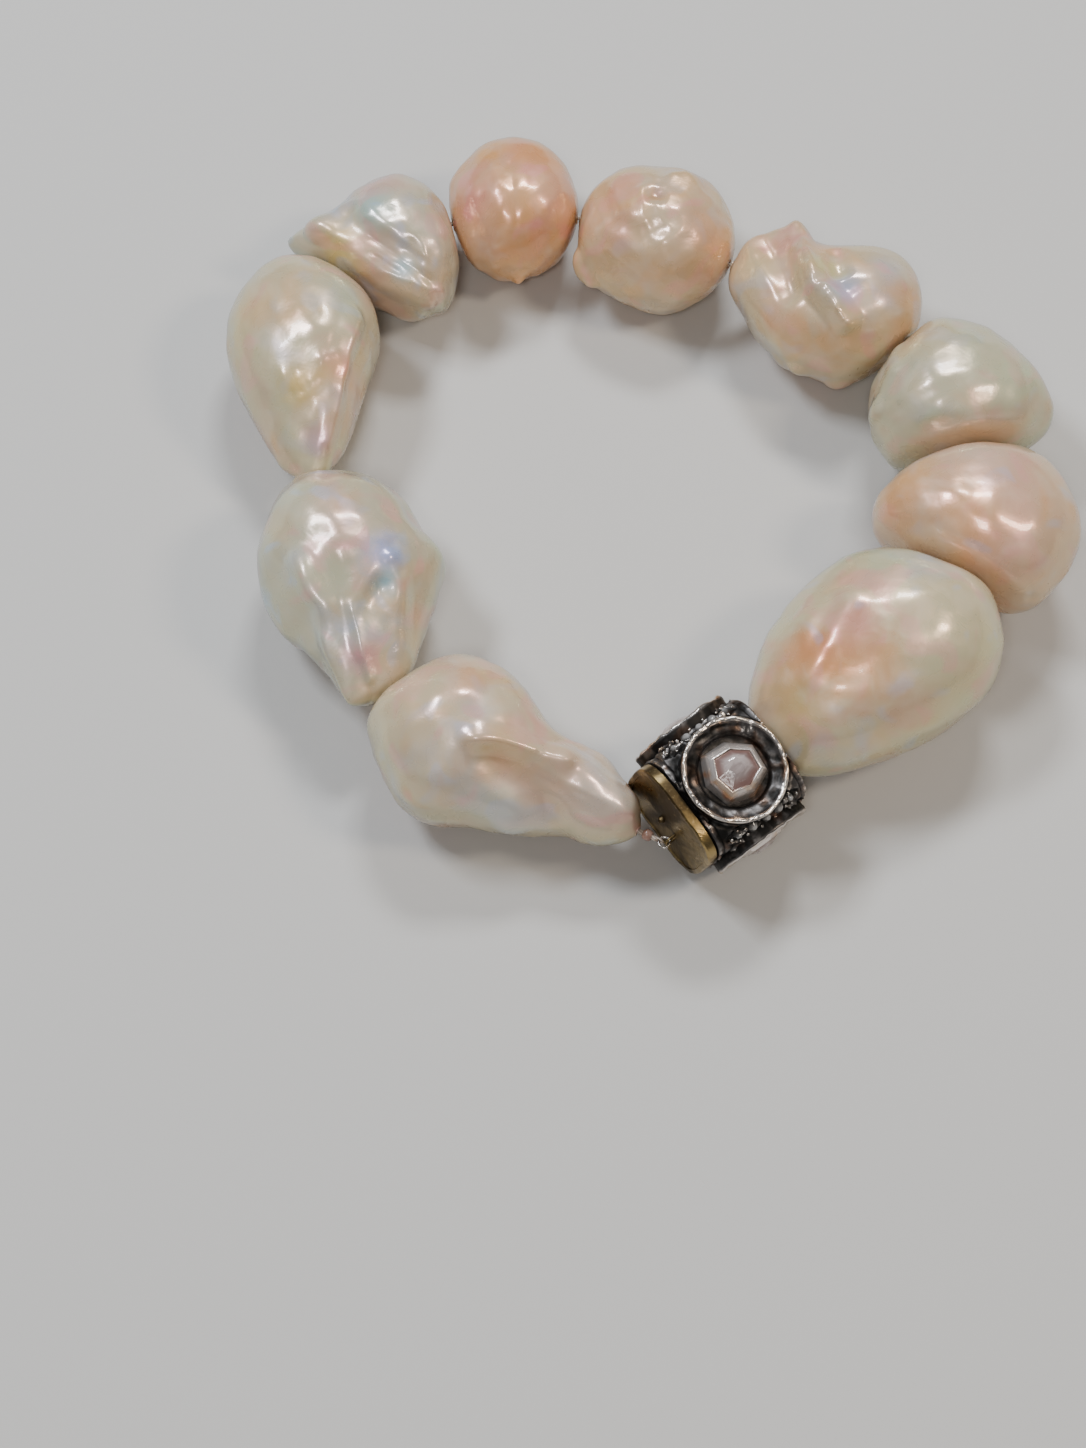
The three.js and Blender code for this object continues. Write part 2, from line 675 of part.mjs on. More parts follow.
// A drum with a rounded square section whose half width follows its length
function squaredDrum(length, rows, halfAt) {
  const drum = new THREE.CylinderGeometry(1, 1, length, drumSides, rows).rotateZ(-Math.PI / 2);
  const position = drum.attributes.position;
  for (let i = 0; i < position.count; i++) {
    const x = position.getX(i);
    const y = position.getY(i);
    const z = position.getZ(i);
    const powers = Math.abs(y) ** claspCornerPower + Math.abs(z) ** claspCornerPower;
    const scale = powers > 0 ? halfAt(x) / powers ** (1 / claspCornerPower) : 0;
    position.setXYZ(i, x, y * scale, z * scale);
  }
  return drum;
}

// A turned profile of radius and height that stands on the barrel's face
function turned(profile, sides) {
  const points = profile.map(([radius, height]) => new THREE.Vector2(radius, height));
  return new THREE.LatheGeometry(points, sides).rotateX(Math.PI / 2);
}

const colletTop = rimHeight - dishDepth + collet.height;
const stoneRadius = collet.topRadius - collet.wall - stone.clearance;
const stoneBase = colletTop - stone.sunk;

function medallion() {
  return turned(
    [
      [0, rimHeight - rim.skirt],
      [rimRadius, rimHeight - rim.skirt],
      [rimRadius, rimHeight - rim.bevel],
      [rimRadius - rim.bevel, rimHeight],
      [0, rimHeight],
    ],
    drumSides,
  );
}

function dish() {
  const radius = rimRadius - rim.wall;
  const floor = rimHeight - dishDepth;
  return turned(
    [
      [0, floor],
      [collet.baseRadius, floor],
      [radius, rimHeight - dishDepth / 2],
      [radius, rimHeight + dishDepth],
      [0, rimHeight + dishDepth],
    ],
    drumSides,
  );
}

function colletCone() {
  const sunk = collet.height / 2;
  const height = collet.height + sunk;
  const cone = new THREE.CylinderGeometry(collet.topRadius, collet.baseRadius, height, collet.sides);
  return cone.rotateX(Math.PI / 2).translate(0, 0, colletTop - height / 2);
}

function stonePocket() {
  const radius = stoneRadius + stone.clearance;
  const depth = stone.sunk + stone.clearance;
  const pocket = new THREE.CylinderGeometry(radius, radius, 2 * depth, stone.sides).rotateX(Math.PI / 2);
  return pocket.translate(0, 0, colletTop);
}

// A rose cut stone: a flat base, a girdle, eight facets and a table
function roseCut(radius, base, girdle, crown) {
  return turned(
    [
      [0, base],
      [radius, base],
      [radius, base + girdle],
      [radius * stone.tableShare, base + girdle + crown],
      [0, base + girdle + crown],
    ],
    stone.sides,
  );
}

// The pointed field along a corner of the barrel, following the barrel's bulge
function cornerHeightAt(x) {
  return halfAcrossAt(x) * cornerShare + band.proud;
}

function cornerField() {
  const outline = new THREE.Shape();
  outline.moveTo(-band.length / 2, 0);
  outline.quadraticCurveTo(0, -band.width, band.length / 2, 0);
  outline.quadraticCurveTo(0, band.width, -band.length / 2, 0);
  const { depth, curveSegments } = band;
  const field = new THREE.ExtrudeGeometry(outline, { depth, bevelEnabled: false, curveSegments });
  const position = field.attributes.position;
  for (let i = 0; i < position.count; i++) {
    position.setZ(i, position.getZ(i) - depth + cornerHeightAt(position.getX(i)));
  }
  return field;
}

function cornerStone(index) {
  const spacing = (2 * bandStones.radius + band.length / bandStones.count) / 2;
  const x = (index - (bandStones.count - 1) / 2) * spacing;
  const radius = bandStones.radius * (1 - bandStones.taper * Math.abs((2 * x) / band.length));
  const base = cornerHeightAt(x) - bandStones.radius;
  const girdle = bandStones.radius + bandStones.proud / 3;
  const crown = (bandStones.proud * 2) / 3;
  return roseCut(radius, base, girdle, crown).translate(x, 0, 0);
}

function quarterTurned(geometry, quarter) {
  return solidOf(geometry.rotateX((quarter * Math.PI) / 2));
}

function claspBody() {
  let body = solidOf(squaredDrum(bodyLength, drumRows, halfAcrossAt));
  for (let quarter = 0; quarter < 4; quarter++) {
    body = body.add(quarterTurned(medallion(), quarter));
  }
  for (let quarter = 0; quarter < 4; quarter++) {
    body = body.subtract(quarterTurned(dish(), quarter));
    body = body.add(quarterTurned(colletCone(), quarter));
    body = body.subtract(quarterTurned(stonePocket(), quarter));
    body = body.add(quarterTurned(cornerField(), quarter + 0.5));
    for (let index = 0; index < bandStones.count; index++) {
      body = body.add(quarterTurned(cornerStone(index), quarter + 0.5));
    }
  }
  const pocket = new THREE.BoxGeometry(
    2 * (tongue.length + tongue.clearance),
    tongue.width + 2 * tongue.clearance,
    tongue.thickness + 2 * tongue.clearance,
  ).translate(-bodyLength / 2, 0, 0);
  const bore = rodBetween(
    new THREE.Vector3(bodyLength / 2 - threadBoreDepth, 0, 0),
    new THREE.Vector3(bodyLength / 2 + beadGap, 0, 0),
    threadRadius + drillClearance,
    drillSides,
  );
  body = body.subtract(solidOf(pocket)).subtract(solidOf(bore));
  return geometryOf(body).rotateX(roll).translate(bodyMiddle, 0, 0);
}

// The staple starts inside the plate, goes round its bar in half a circle and comes back
function stapleCorners() {
  const { halfWidth, offsetOut, offsetDown, standOff } = staple;
  const inPlate = beadGap / 2 + plateThickness / 2;
  const corners = [new THREE.Vector3(inPlate, -offsetOut, halfWidth)];
  for (let step = 0; step <= 4; step++) {
    const angle = Math.PI / 2 + (step * Math.PI) / 4;
    const x = beadGap / 2 - standOff + halfWidth * (1 + Math.cos(angle));
    corners.push(new THREE.Vector3(x, -offsetOut, halfWidth * Math.sin(angle)));
  }
  corners.push(new THREE.Vector3(inPlate, -offsetOut, -halfWidth));
  return corners.map((corner) => corner.setZ(corner.z - offsetDown));
}

// The end plate with its tongue, its staple and a ball of solder
function claspPlate() {
  const plateEnd = beadGap / 2 + plateThickness;
  const plate = squaredDrum(plateThickness, 1, () => claspEndAcross / 2);
  plate.rotateX(roll).translate(beadGap / 2 + plateThickness / 2, 0, 0);
  const reach = tongue.length + plateSeam;
  const blade = new THREE.BoxGeometry(2 * reach, tongue.width, tongue.thickness).rotateX(roll);
  const behind = new THREE.BoxGeometry(2 * reach, claspEndAcross, claspEndAcross);
  const ball = new THREE.SphereGeometry(solderBall.radius, knotSides, knotRings);
  ball.translate(beadGap / 2, solderBall.offsetIn, -solderBall.offsetDown);
  return geometryOf(
    solidOf(blade.translate(plateEnd, 0, 0))
      .subtract(solidOf(behind.translate(plateEnd - plateThickness / 2 - reach, 0, 0)))
      .add(solidOf(plate))
      .add(solidOf(wireAlong(stapleCorners(), staple.wireRadius, linkWireSides)))
      .add(solidOf(ball)),
  );
}

const claspGroup = new THREE.Group();
claspGroup.position.copy(claspStart);
claspGroup.rotation.z = headingBetween(claspStart, claspEnd);
claspGroup.updateMatrix();

function makeClasp() {
  claspGroup.add(namedMesh("clasp_body", claspBody(), silver));
  claspGroup.add(namedMesh("clasp_plate", claspPlate(), gold));
  for (let quarter = 0; quarter < 4; quarter++) {
    const gem = roseCut(stoneRadius, stoneBase, stone.girdle, stone.crown);
    gem.rotateX((quarter * Math.PI) / 2 + roll).translate(bodyMiddle, 0, 0);
    claspGroup.add(namedMesh("centre_stone_" + (quarter + 1), gem, diamond));
  }
  return claspGroup;
}

// The links hang in line between the last pearl and the bar of the staple
const threadEnd = route[pearlCount];
const stapleBar = new THREE.Vector3(beadGap / 2 - staple.standOff, -staple.offsetOut, -staple.offsetDown);
stapleBar.applyMatrix4(claspGroup.matrix);
const linkLine = new THREE.Vector3().subVectors(stapleBar, threadEnd).normalize();

function linkPoint(distanceBeforeBar) {
  return stapleBar.clone().addScaledVector(linkLine, -distanceBeforeBar);
}

const loopDistance = staple.wireRadius + linkClearance + threadLoop.wireRadius + threadLoop.radius;
const ringDistance = jumpRing.radius - staple.wireRadius - linkClearance - jumpRing.wireRadius;

// A ring of wire in the line of the links, lying flat or standing upright
function linkRing({ radius, wireRadius }, distance, upright) {
  const ring = new THREE.TorusGeometry(radius, wireRadius, linkWireSides, ringSteps);
  if (upright) ring.rotateX(Math.PI / 2);
  const across = new THREE.Vector3(-linkLine.y, linkLine.x, 0).normalize();
  const above = new THREE.Vector3().crossVectors(linkLine, across);
  ring.applyMatrix4(new THREE.Matrix4().makeBasis(linkLine, across, above));
  const centre = linkPoint(distance);
  return ring.translate(centre.x, centre.y, centre.z);
}

function makeLinks() {
  const group = new THREE.Group();
  group.add(namedMesh("jump_ring", linkRing(jumpRing, ringDistance, false), silver));
  const knotCentre = threadEnd.clone().addScaledVector(linkLine, beadGap / 2 + knotRadius);
  const knot = new THREE.SphereGeometry(knotRadius, knotSides, knotRings);
  knot.translate(knotCentre.x, knotCentre.y, knotCentre.z);
  const hole = rodBetween(threadEnd, linkPoint(0), threadRadius + knotClearance, drillSides);
  group.add(namedMesh("thread_knot", geometryOf(solidOf(knot).subtract(solidOf(hole))), resin));
  return group;
}

function makeThread() {
  const claspLine = new THREE.Vector3().subVectors(claspStart, claspEnd).normalize();
  const inClasp = claspEnd.clone().addScaledVector(claspLine, threadBoreDepth - drillClearance);
  const corners = [inClasp, ...route.slice(0, pearlCount + 1), linkPoint(loopDistance + threadLoop.radius)];
  const line = solidOf(wireAlong(corners, threadRadius, threadSides));
  const loop = solidOf(linkRing(threadLoop, loopDistance, true));
  return namedMesh("thread", geometryOf(line.add(loop)), silk);
}

const bracelet = new THREE.Group();
bracelet.add(makePearls());
bracelet.add(makeClasp());
bracelet.add(makeLinks());
bracelet.add(makeThread());

export default bracelet;
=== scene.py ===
import math

import bpy
import numpy as np
from mathutils import Matrix, Vector


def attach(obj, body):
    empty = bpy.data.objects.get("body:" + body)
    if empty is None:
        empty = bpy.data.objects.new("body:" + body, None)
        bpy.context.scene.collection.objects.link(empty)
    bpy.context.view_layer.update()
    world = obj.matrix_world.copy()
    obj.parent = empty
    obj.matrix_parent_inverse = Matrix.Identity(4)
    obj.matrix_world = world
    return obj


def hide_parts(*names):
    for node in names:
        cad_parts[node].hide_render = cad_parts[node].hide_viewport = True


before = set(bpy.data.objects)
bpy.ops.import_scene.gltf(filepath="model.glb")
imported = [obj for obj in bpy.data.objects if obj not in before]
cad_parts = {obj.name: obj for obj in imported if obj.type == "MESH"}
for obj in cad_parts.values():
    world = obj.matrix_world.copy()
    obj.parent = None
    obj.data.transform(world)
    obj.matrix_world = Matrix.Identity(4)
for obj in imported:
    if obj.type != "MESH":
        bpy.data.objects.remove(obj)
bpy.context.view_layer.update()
mm = 0.001
print("frame loaded")

# the bracelet lies on the floor and the camera looks down on it from the clasp's side, sizes in millimetres
camera = dict(lookAt=(-10.4, -22.8, 0.0), distance=320.0, elevation=65.0, lens=79.56, sensor=36.0, near=0.01)

# where each bead touches the next, anticlockwise from the right end of the clasp to its left end: along and over
# as shares of the loop's size, up as a share of the pearls' size
string = dict(
    loopAcross=86.0, pearlAcross=20.0, gap=0.3, threadRadius=0.25, drillRadius=0.6,
    claspEnd=(0.128, -0.344), claspStart=(0.017, -0.431), claspRoll=15, rimHeight=6.95, rimShare=0.42,
    linkSpan=2.49, lastPearlUp=0.3, seed=11,
    meetings=[
        (0.367, -0.138, 0.475), (0.383, 0.036, 0.45), (0.314, 0.195, 0.4), (0.107, 0.309, 0.375),
        (-0.077, 0.381, 0.35), (-0.233, 0.372, 0.35), (-0.376, 0.297, 0.375), (-0.392, 0.01, 0.35),
        (-0.3, -0.272, 0.375),
    ],
)
claspEnd, claspStart = [Vector((*string[name], 0)) * string["loopAcross"] for name in ("claspEnd", "claspStart")]
claspLength = (claspEnd - claspStart).length
claspRoll, rimRadius = math.radians(string["claspRoll"]), string["rimShare"] * claspLength
claspEnd.z = claspStart.z = string["rimHeight"] * math.cos(claspRoll) + rimRadius * math.sin(claspRoll)
route = [claspEnd]
for along, over, up in string["meetings"]:
    route.append(Vector((along * string["loopAcross"], over * string["loopAcross"], up * string["pearlAcross"])))
route.append(Vector((claspStart.x - string["linkSpan"], claspStart.y, string["lastPearlUp"] * string["pearlAcross"])))
route.append(claspStart)
seeded = np.random.default_rng(string["seed"])


def deselectAll():
    if bpy.context.object and bpy.context.object.mode == "EDIT":
        bpy.ops.object.mode_set(mode="OBJECT")
    bpy.ops.object.select_all(action="DESELECT")


def activate(piece):
    deselectAll()
    piece.select_set(True)
    bpy.context.view_layer.objects.active = piece


def named(name):
    piece = bpy.context.object
    piece.name = name
    piece.data.name = name
    return piece

def pick(piece, mode, kind, wanted):  # opens the mesh with only the wanted vertices or faces selected
    activate(piece)
    bpy.ops.object.mode_set(mode="EDIT")
    bpy.ops.mesh.select_mode(type=mode)
    bpy.ops.mesh.select_all(action="DESELECT")
    bpy.ops.object.mode_set(mode="OBJECT")
    for element in getattr(piece.data, kind):
        element.select = bool(wanted(element))
    bpy.ops.object.mode_set(mode="EDIT")


def closeEdit():
    bpy.ops.mesh.select_all(action="DESELECT")
    bpy.ops.object.mode_set(mode="OBJECT")


def soften(piece, width, segments, angle):
    bevel = piece.modifiers.new("soften", "BEVEL")
    bevel.width = width
    bevel.segments = segments
    bevel.limit_method = "ANGLE"
    bevel.angle_limit = math.radians(angle)
    bpy.ops.object.modifier_apply(modifier=bevel.name)


def bridgeOpenings(piece, gone):  # deletes the marked vertices at both ends and joins the two openings by a hole
    pick(piece, "VERT", "vertices", lambda vertex: gone[vertex.index])
    bpy.ops.mesh.delete(type="VERT")
    bpy.ops.mesh.select_non_manifold()
    bpy.ops.mesh.bridge_edge_loops()
    closeEdit()


def pointsOf(piece):
    points = np.empty(len(piece.data.vertices) * 3)
    piece.data.vertices.foreach_get("co", points)
    return points.reshape(-1, 3)


def putPoints(piece, points):
    piece.data.vertices.foreach_set("co", np.ascontiguousarray(points, dtype=np.float64).ravel())
    piece.data.update()


def normalsOf(piece):
    normals = np.empty(len(piece.data.vertices) * 3)
    piece.data.vertices.foreach_get("normal", normals)
    return normals.reshape(-1, 3)


def moved(points, matrix):
    turned = np.array(matrix)
    return points @ turned[:3, :3].T + turned[:3, 3]


def place(piece, matrix):  # bakes a pose into the mesh, so the object stays at the origin
    putPoints(piece, moved(pointsOf(piece), matrix))


def paint(piece, name, values):  # a value for each corner point, for the materials to read
    layer = piece.data.attributes.get(name) or piece.data.attributes.new(name, "FLOAT", "POINT")
    layer.data.foreach_set("value", np.ascontiguousarray(values, dtype=np.float32))


def finishPiece(piece, material, node=None, smoothAngle=None):
    activate(piece)
    if smoothAngle is None:
        bpy.ops.object.shade_smooth()
    else:
        bpy.ops.object.shade_smooth_by_angle(angle=math.radians(smoothAngle))
    piece.data.materials.clear()
    piece.data.materials.append(material)
    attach(piece, "root")
    if node:
        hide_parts(node)


def joinAll(pieces, name):
    deselectAll()
    for piece in pieces:
        piece.select_set(True)
    bpy.context.view_layer.objects.active = pieces[0]
    bpy.ops.object.join()
    return named(name)


def linked(name, data):  # a new object of the scene
    new = bpy.data.objects.new(name, data)
    bpy.context.collection.objects.link(new)
    return new


def copyOf(piece, name):
    twin = piece.copy()
    twin.data = piece.data.copy()
    twin.name = name
    twin.data.name = name
    bpy.context.collection.objects.link(twin)
    return twin


# a seeded field of soft waves, for hammered metal and rippled nacre
def waves(points, length, seed, count=14, stretches=(0.65, 1.5)):
    source = np.random.default_rng(seed)
    field = np.zeros(len(points))
    for _ in range(count):
        heading = source.normal(size=3)
        heading /= np.linalg.norm(heading)
        stretch = source.uniform(*stretches)
        field += np.sin(points @ heading * (2 * math.pi / (length * stretch)) + source.uniform(0, 2 * math.pi))
    return field / math.sqrt(count / 2)


class Wire:  # one socket of a material, for sums written as expressions
    def __init__(self, tree, socket):
        self.tree = tree
        self.socket = socket

    def node(self, kind, settings=None, inputs=None, output=0):
        new = self.tree.nodes.new(kind)
        for key, value in (settings or {}).items():
            setattr(new, key, value)
        for key, value in (inputs or {}).items():
            socket = new.inputs[key]
            if isinstance(value, Wire):
                self.tree.links.new(value.socket, socket)
            elif socket.type == "RGBA" and len(value) == 3:
                socket.default_value = (*value, 1.0)
            else:
                socket.default_value = value
        return Wire(self.tree, new.outputs[output])

    def sum(self, operation, first, second):
        return self.node("ShaderNodeMath", {"operation": operation}, {0: first, 1: second})

    def __add__(self, other):
        return self.sum("ADD", self, other)

    def __sub__(self, other):
        return self.sum("SUBTRACT", self, other)

    def __rsub__(self, other):
        return self.sum("SUBTRACT", other, self)

    def __mul__(self, other):
        return self.sum("MULTIPLY", self, other)

    def __truediv__(self, other):
        return self.sum("DIVIDE", self, other)

    __radd__ = __add__
    __rmul__ = __mul__

    def ramp(self, low, high, toLow=0.0, toHigh=1.0):
        settings = {"interpolation_type": "SMOOTHSTEP"}
        return self.node("ShaderNodeMapRange", settings, {0: self, 1: low, 2: high, 3: toLow, 4: toHigh})

    def blend(self, first, second, mode="MIX"):  # this wire is the factor
        settings = {"data_type": "RGBA", "blend_type": mode, "clamp_factor": True}
        return self.node("ShaderNodeMix", settings, {0: self, 6: first, 7: second}, output=2)


def newMaterial(name, viewColour):
    material = bpy.data.materials.new(name)
    material.use_nodes = True
    material.diffuse_color = (*viewColour, 1.0)
    tree = material.node_tree
    shader = tree.nodes["Principled BSDF"]
    start = Wire(tree, None)
    start.socket = start.node("ShaderNodeTexCoord", output=3).socket  # Object coordinates
    return material, shader, start


def setShader(shader, **values):
    for key, value in values.items():
        shader.inputs[key].default_value = value


def feed(wire, shader, name):
    wire.tree.links.new(wire.socket, shader.inputs[name])


def roughen(height, shader, strength, depth):  # fine relief from a wire
    inputs = {"Strength": strength, "Distance": depth, "Height": height}
    feed(height.node("ShaderNodeBump", None, inputs), shader, "Normal")


def noise(place, scale, detail=3.0, roughness=0.5, distortion=0.0):
    inputs = {"Vector": place, "Scale": scale, "Detail": detail, "Roughness": roughness, "Distortion": distortion}
    return place.node("ShaderNodeTexNoise", None, inputs)


def painted(place, name):  # the value that paint gave the mesh
    return place.node("ShaderNodeAttribute", {"attribute_name": name}, output=2)


def shifted(place, offset):
    return place.node("ShaderNodeVectorMath", {"operation": "ADD"}, {0: place, 1: offset})


# soft patch round a point in metres: 1 in the middle, 0 at its radius
def patch(place, centre, radius, ragged=None):
    distance = place.node("ShaderNodeVectorMath", {"operation": "DISTANCE"}, {0: place, 1: centre}, output=1)
    share = distance / radius
    if ragged is not None:
        share = share + ragged
    return share.ramp(1.0, 0.0)


# nacre: a pale base with soft clouds of overtones, then coloured patches of its own, a few of them painted highlights,
# and small glints.
# fields are (place, scale, detail, roughness, distortion); overtones and glints are (tone, colour, field,
# where it starts, where it is full, strength)
nacre = dict(
    fields=dict(
        wide=(0, 95.0, 2.0, 0.5, 0.6), other=(1, 123.5, 2.0, 0.5, 0.8), fine=(0, 304.0, 3.0, 0.55, 0.4),
        glint=(2, 260.0, 1.0, 0.4, 0.6), ripple=(0, 420.0, 3.0, 0.55, 0.3),
    ),
    overtones=[
        ("pink", (0.74, 0.38, 0.36), "wide", 0.50, 0.68, 0.40),
        ("green", (0.46, 0.56, 0.40), "other", 0.52, 0.70, 0.30),
        ("blue", (0.40, 0.48, 0.66), "wide", 0.46, 0.32, 0.35),
        ("peach", (0.80, 0.46, 0.25), "other", 0.47, 0.32, 0.38),
        ("pale", (0.84, 0.76, 0.64), "fine", 0.45, 0.75, 0.22),
    ],
    glints=[
        ("blue", (0.42, 0.56, 0.84), "glint", 0.58, 0.72, 0.30),
        ("pink", (0.90, 0.46, 0.50), "glint", 0.42, 0.30, 0.32),
    ],
    ragged=0.9, patchStrength=0.8, vivid={"Saturation": 1.36, "Value": 0.98}, roughness=(0.3, 0.7, 0.22, 0.36),
    rippleStrength=0.12, rippleDepth=0.0006,
    surface={
        "Metallic": 0.22, "Coat Weight": 0.5, "Coat Roughness": 0.07, "Coat IOR": 1.5, "Specular IOR Level": 0.6,
        "Thin Film Thickness": 480.0, "Thin Film IOR": 1.4, "Subsurface Weight": 0.08,
        "Subsurface Radius": (0.0012, 0.0008, 0.0005), "Subsurface Scale": 1.0,
    },
)


def nacreMaterial(name, pearl, patches):
    material, shader, place = newMaterial(name, pearl["colour"])
    spots = [shifted(place, tuple(seeded.uniform(-1, 1, 3))) for _ in range(3)]
    fields = {key: noise(spots[spot], *values) for key, (spot, *values) in nacre["fields"].items()}
    tones = dict(zip(("pink", "green", "blue", "peach"), pearl["tones"]), pale=1.0)

    def toned(colour, table):
        for tone, tint, field, start, full, strength in table:
            colour = fields[field].ramp(start, full, 0.0, strength * tones[tone]).blend(colour, tint)
        return colour

    colour = toned(pearl["colour"], nacre["overtones"])
    edge = (fields["fine"] - 0.5) * nacre["ragged"]
    for centre, radius, tint, strength in patches:
        colour = (patch(place, centre, radius, edge) * (nacre["patchStrength"] * strength)).blend(colour, tint)
    colour = toned(colour, nacre["glints"])
    feed(colour.node("ShaderNodeHueSaturation", None, dict(nacre["vivid"], Color=colour)), shader, "Base Color")
    feed(fields["fine"].ramp(*nacre["roughness"]), shader, "Roughness")
    roughen(fields["ripple"], shader, nacre["rippleStrength"] * pearl["ripple"], nacre["rippleDepth"])
    setShader(shader, **nacre["surface"])
    return material


# how far a pearl reaches along its length, through the given stations, smooth through each of them
def smoothThrough(stops, values, at):
    left = np.clip(np.searchsorted(stops, at, side="right") - 1, 0, len(stops) - 2)
    before = np.where(left > 0, left - 1, left + 1)
    after = np.where(left + 2 < len(stops), left + 2, left)
    start, end = stops[left], stops[left + 1]
    half = (end - start) / 2
    weightBefore = half / (start - stops[before])
    weightAfter = half / (stops[after] - end)
    p = (at - start) / (end - start)
    pp, ppp = p * p, p * p * p
    fromBefore = -weightBefore * ppp + 2 * weightBefore * pp - weightBefore * p
    fromStart = (1 + weightBefore) * ppp + (-1.5 - 2 * weightBefore) * pp + (-0.5 + weightBefore) * p + 1
    fromEnd = (-1 - weightAfter) * ppp + (1.5 + weightAfter) * pp + 0.5 * p
    fromAfter = weightAfter * ppp - weightAfter * pp
    shares = (fromBefore, fromStart, fromEnd, fromAfter)
    return sum(share[:, None] * values[index] for share, index in zip(shares, (before, left, left + 1, after)))


def headingBetween(start, end):
    return math.atan2(end.y - start.y, end.x - start.x)


def turnAt(index):
    here = route[index % len(route)]
    before = headingBetween(route[index - 1], here)
    after = headingBetween(here, route[(index + 1) % len(route)])
    return (after - before + math.pi) % (2 * math.pi) - math.pi


# the upright pearl: x along it, y inwards, z up from the line between its ends, in millimetres
class PearlShape:
    def __init__(self, index, pearl):
        self.start, self.end = route[index], route[index + 1]
        self.length = math.hypot(self.end.x - self.start.x, self.end.y - self.start.y)
        self.heading = headingBetween(self.start, self.end)
        self.leanStart = turnAt(0) if index == 0 else turnAt(index) / 2
        self.leanEnd = 0.0 if index == len(route) - 3 else turnAt(index + 1) / 2
        at = np.array(pearl["at"])
        middle = self.start.z + (self.end.z - self.start.z) * at
        reach = np.stack([
            np.array(pearl["inner"]) * pearl["width"],
            np.array(pearl["outer"]) * pearl["width"],
            np.array(pearl["top"]) * pearl["height"] - middle,
            middle - np.array(pearl["bottom"]) * pearl["height"],
        ], axis=1)
        self.stops = np.concatenate([[0.0], np.arccos(1 - 2 * at), [math.pi]])
        self.reach = np.concatenate([np.zeros((1, 4)), reach, np.zeros((1, 4))])

    def upright(self, unit):
        inner, outer, up, down = smoothThrough(self.stops, self.reach, np.arccos(np.clip(-unit[:, 0], -1, 1))).T
        ring = np.hypot(unit[:, 1], unit[:, 2])
        ring[ring < 1e-9] = 1.0
        gap = string["gap"]
        return np.stack([
            gap / 2 + (1 + unit[:, 0]) / 2 * (self.length - gap),
            unit[:, 1] / ring * np.where(unit[:, 1] > 0, inner, outer),
            unit[:, 2] / ring * np.where(unit[:, 2] > 0, up, down),
        ], axis=1)

    def at(self, stops):
        table = np.array(stops, dtype=float)
        x = 2 * table[:, 0] - 1
        ring = np.sqrt(1 - x * x)
        angle = np.radians(table[:, 1])
        return self.upright(np.stack([x, -np.sin(angle) * ring, np.cos(angle) * ring], axis=1))

    def nearness(self, points, stops, spread):  # 0 at the spread's edge, 1 on the line through the stops
        line = self.at(stops)
        nearest = np.full(len(points), spread)
        for first, second in zip(line[:-1], line[1:]) if len(line) > 1 else [(line[0], line[0])]:
            along = second - first
            share = np.clip((points - first) @ along / max(along @ along, 1e-9), 0, 1)
            nearest = np.minimum(nearest, np.linalg.norm(points - first - share[:, None] * along, axis=1))
        return 1 - nearest / spread

    def settled(self, points):  # leans the ends, and puts the pearl in its place on the floor
        points = points.copy()
        gap = string["gap"]
        points[:, 0] = np.clip(points[:, 0], gap / 2, self.length - gap / 2)
        share = points[:, 0] / self.length
        lean = math.tan(self.leanStart) * (1 - share) - math.tan(self.leanEnd) * share
        points[:, 0] += points[:, 1] * lean
        points[:, 2] = np.maximum(self.start.z + (self.end.z - self.start.z) * share + points[:, 2], 0)
        cosine, sine = math.cos(self.heading), math.sin(self.heading)
        x = points[:, 0] * cosine - points[:, 1] * sine + self.start.x
        y = points[:, 0] * sine + points[:, 1] * cosine + self.start.y
        return np.stack([x, y, points[:, 2]], axis=1) * mm


# Tones are how much pink, green, blue and peach a pearl shows. Its stations, at, are shares of its length, its
# reach to either side is in shares of its width, and its top and bottom in shares of its height. Lumps are
# (at, turn, spread, rise), with turn 0 up and 90 outwards, and spread and rise as shares of the width; folds run
# through several (at, turn) stops; creases are sharp folds; tints are (at, turn, radius in millimetres, colour,
# strength), and a few tints are painted highlights.
pearl01 = dict(
    width=20.0, height=18.0, colour=(0.66, 0.585, 0.43), ripple=0.5, sway=0.05,
    tones=(0.7, 0.5, 0.7, 0.5),
    at=[0.03, 0.08, 0.18, 0.28, 0.41, 0.52, 0.65, 0.79, 0.88, 0.96],
    inner=[0.17, 0.25, 0.34, 0.41, 0.46, 0.49, 0.5, 0.5, 0.47, 0.4],
    outer=[0.16, 0.23, 0.33, 0.39, 0.46, 0.49, 0.49, 0.41, 0.3, 0.17],
    top=[0.61, 0.7, 0.81, 0.89, 0.96, 0.99, 1.0, 0.97, 0.9, 0.77],
    bottom=[0.28, 0.19, 0.1, 0.04, 0.0, 0.0, 0.0, 0.02, 0.08, 0.21],
    lumps=[(0.30, -38, 0.10, -0.006), (0.40, -42, 0.10, 0.006)],
    folds=[([(0.56, -24), (0.37, -12), (0.23, -6)], 0.09, 0.012), ([(0.5, -30), (0.36, -24)], 0.07, -0.008)],
    creases=[],
    tints=[
        (0.36, 0, 7.5, (0.72, 0.39, 0.23), 0.75), (0.30, -20, 5.0, (0.75, 0.37, 0.26), 0.6),
        (0.47, -10, 4.5, (0.57, 0.28, 0.30), 0.6), (0.12, -5, 5.5, (0.62, 0.45, 0.24), 0.7),
        (0.85, -50, 8.0, (0.43, 0.52, 0.39), 0.6), (0.6, 55, 9.0, (0.60, 0.62, 0.43), 0.4),
    ],
)
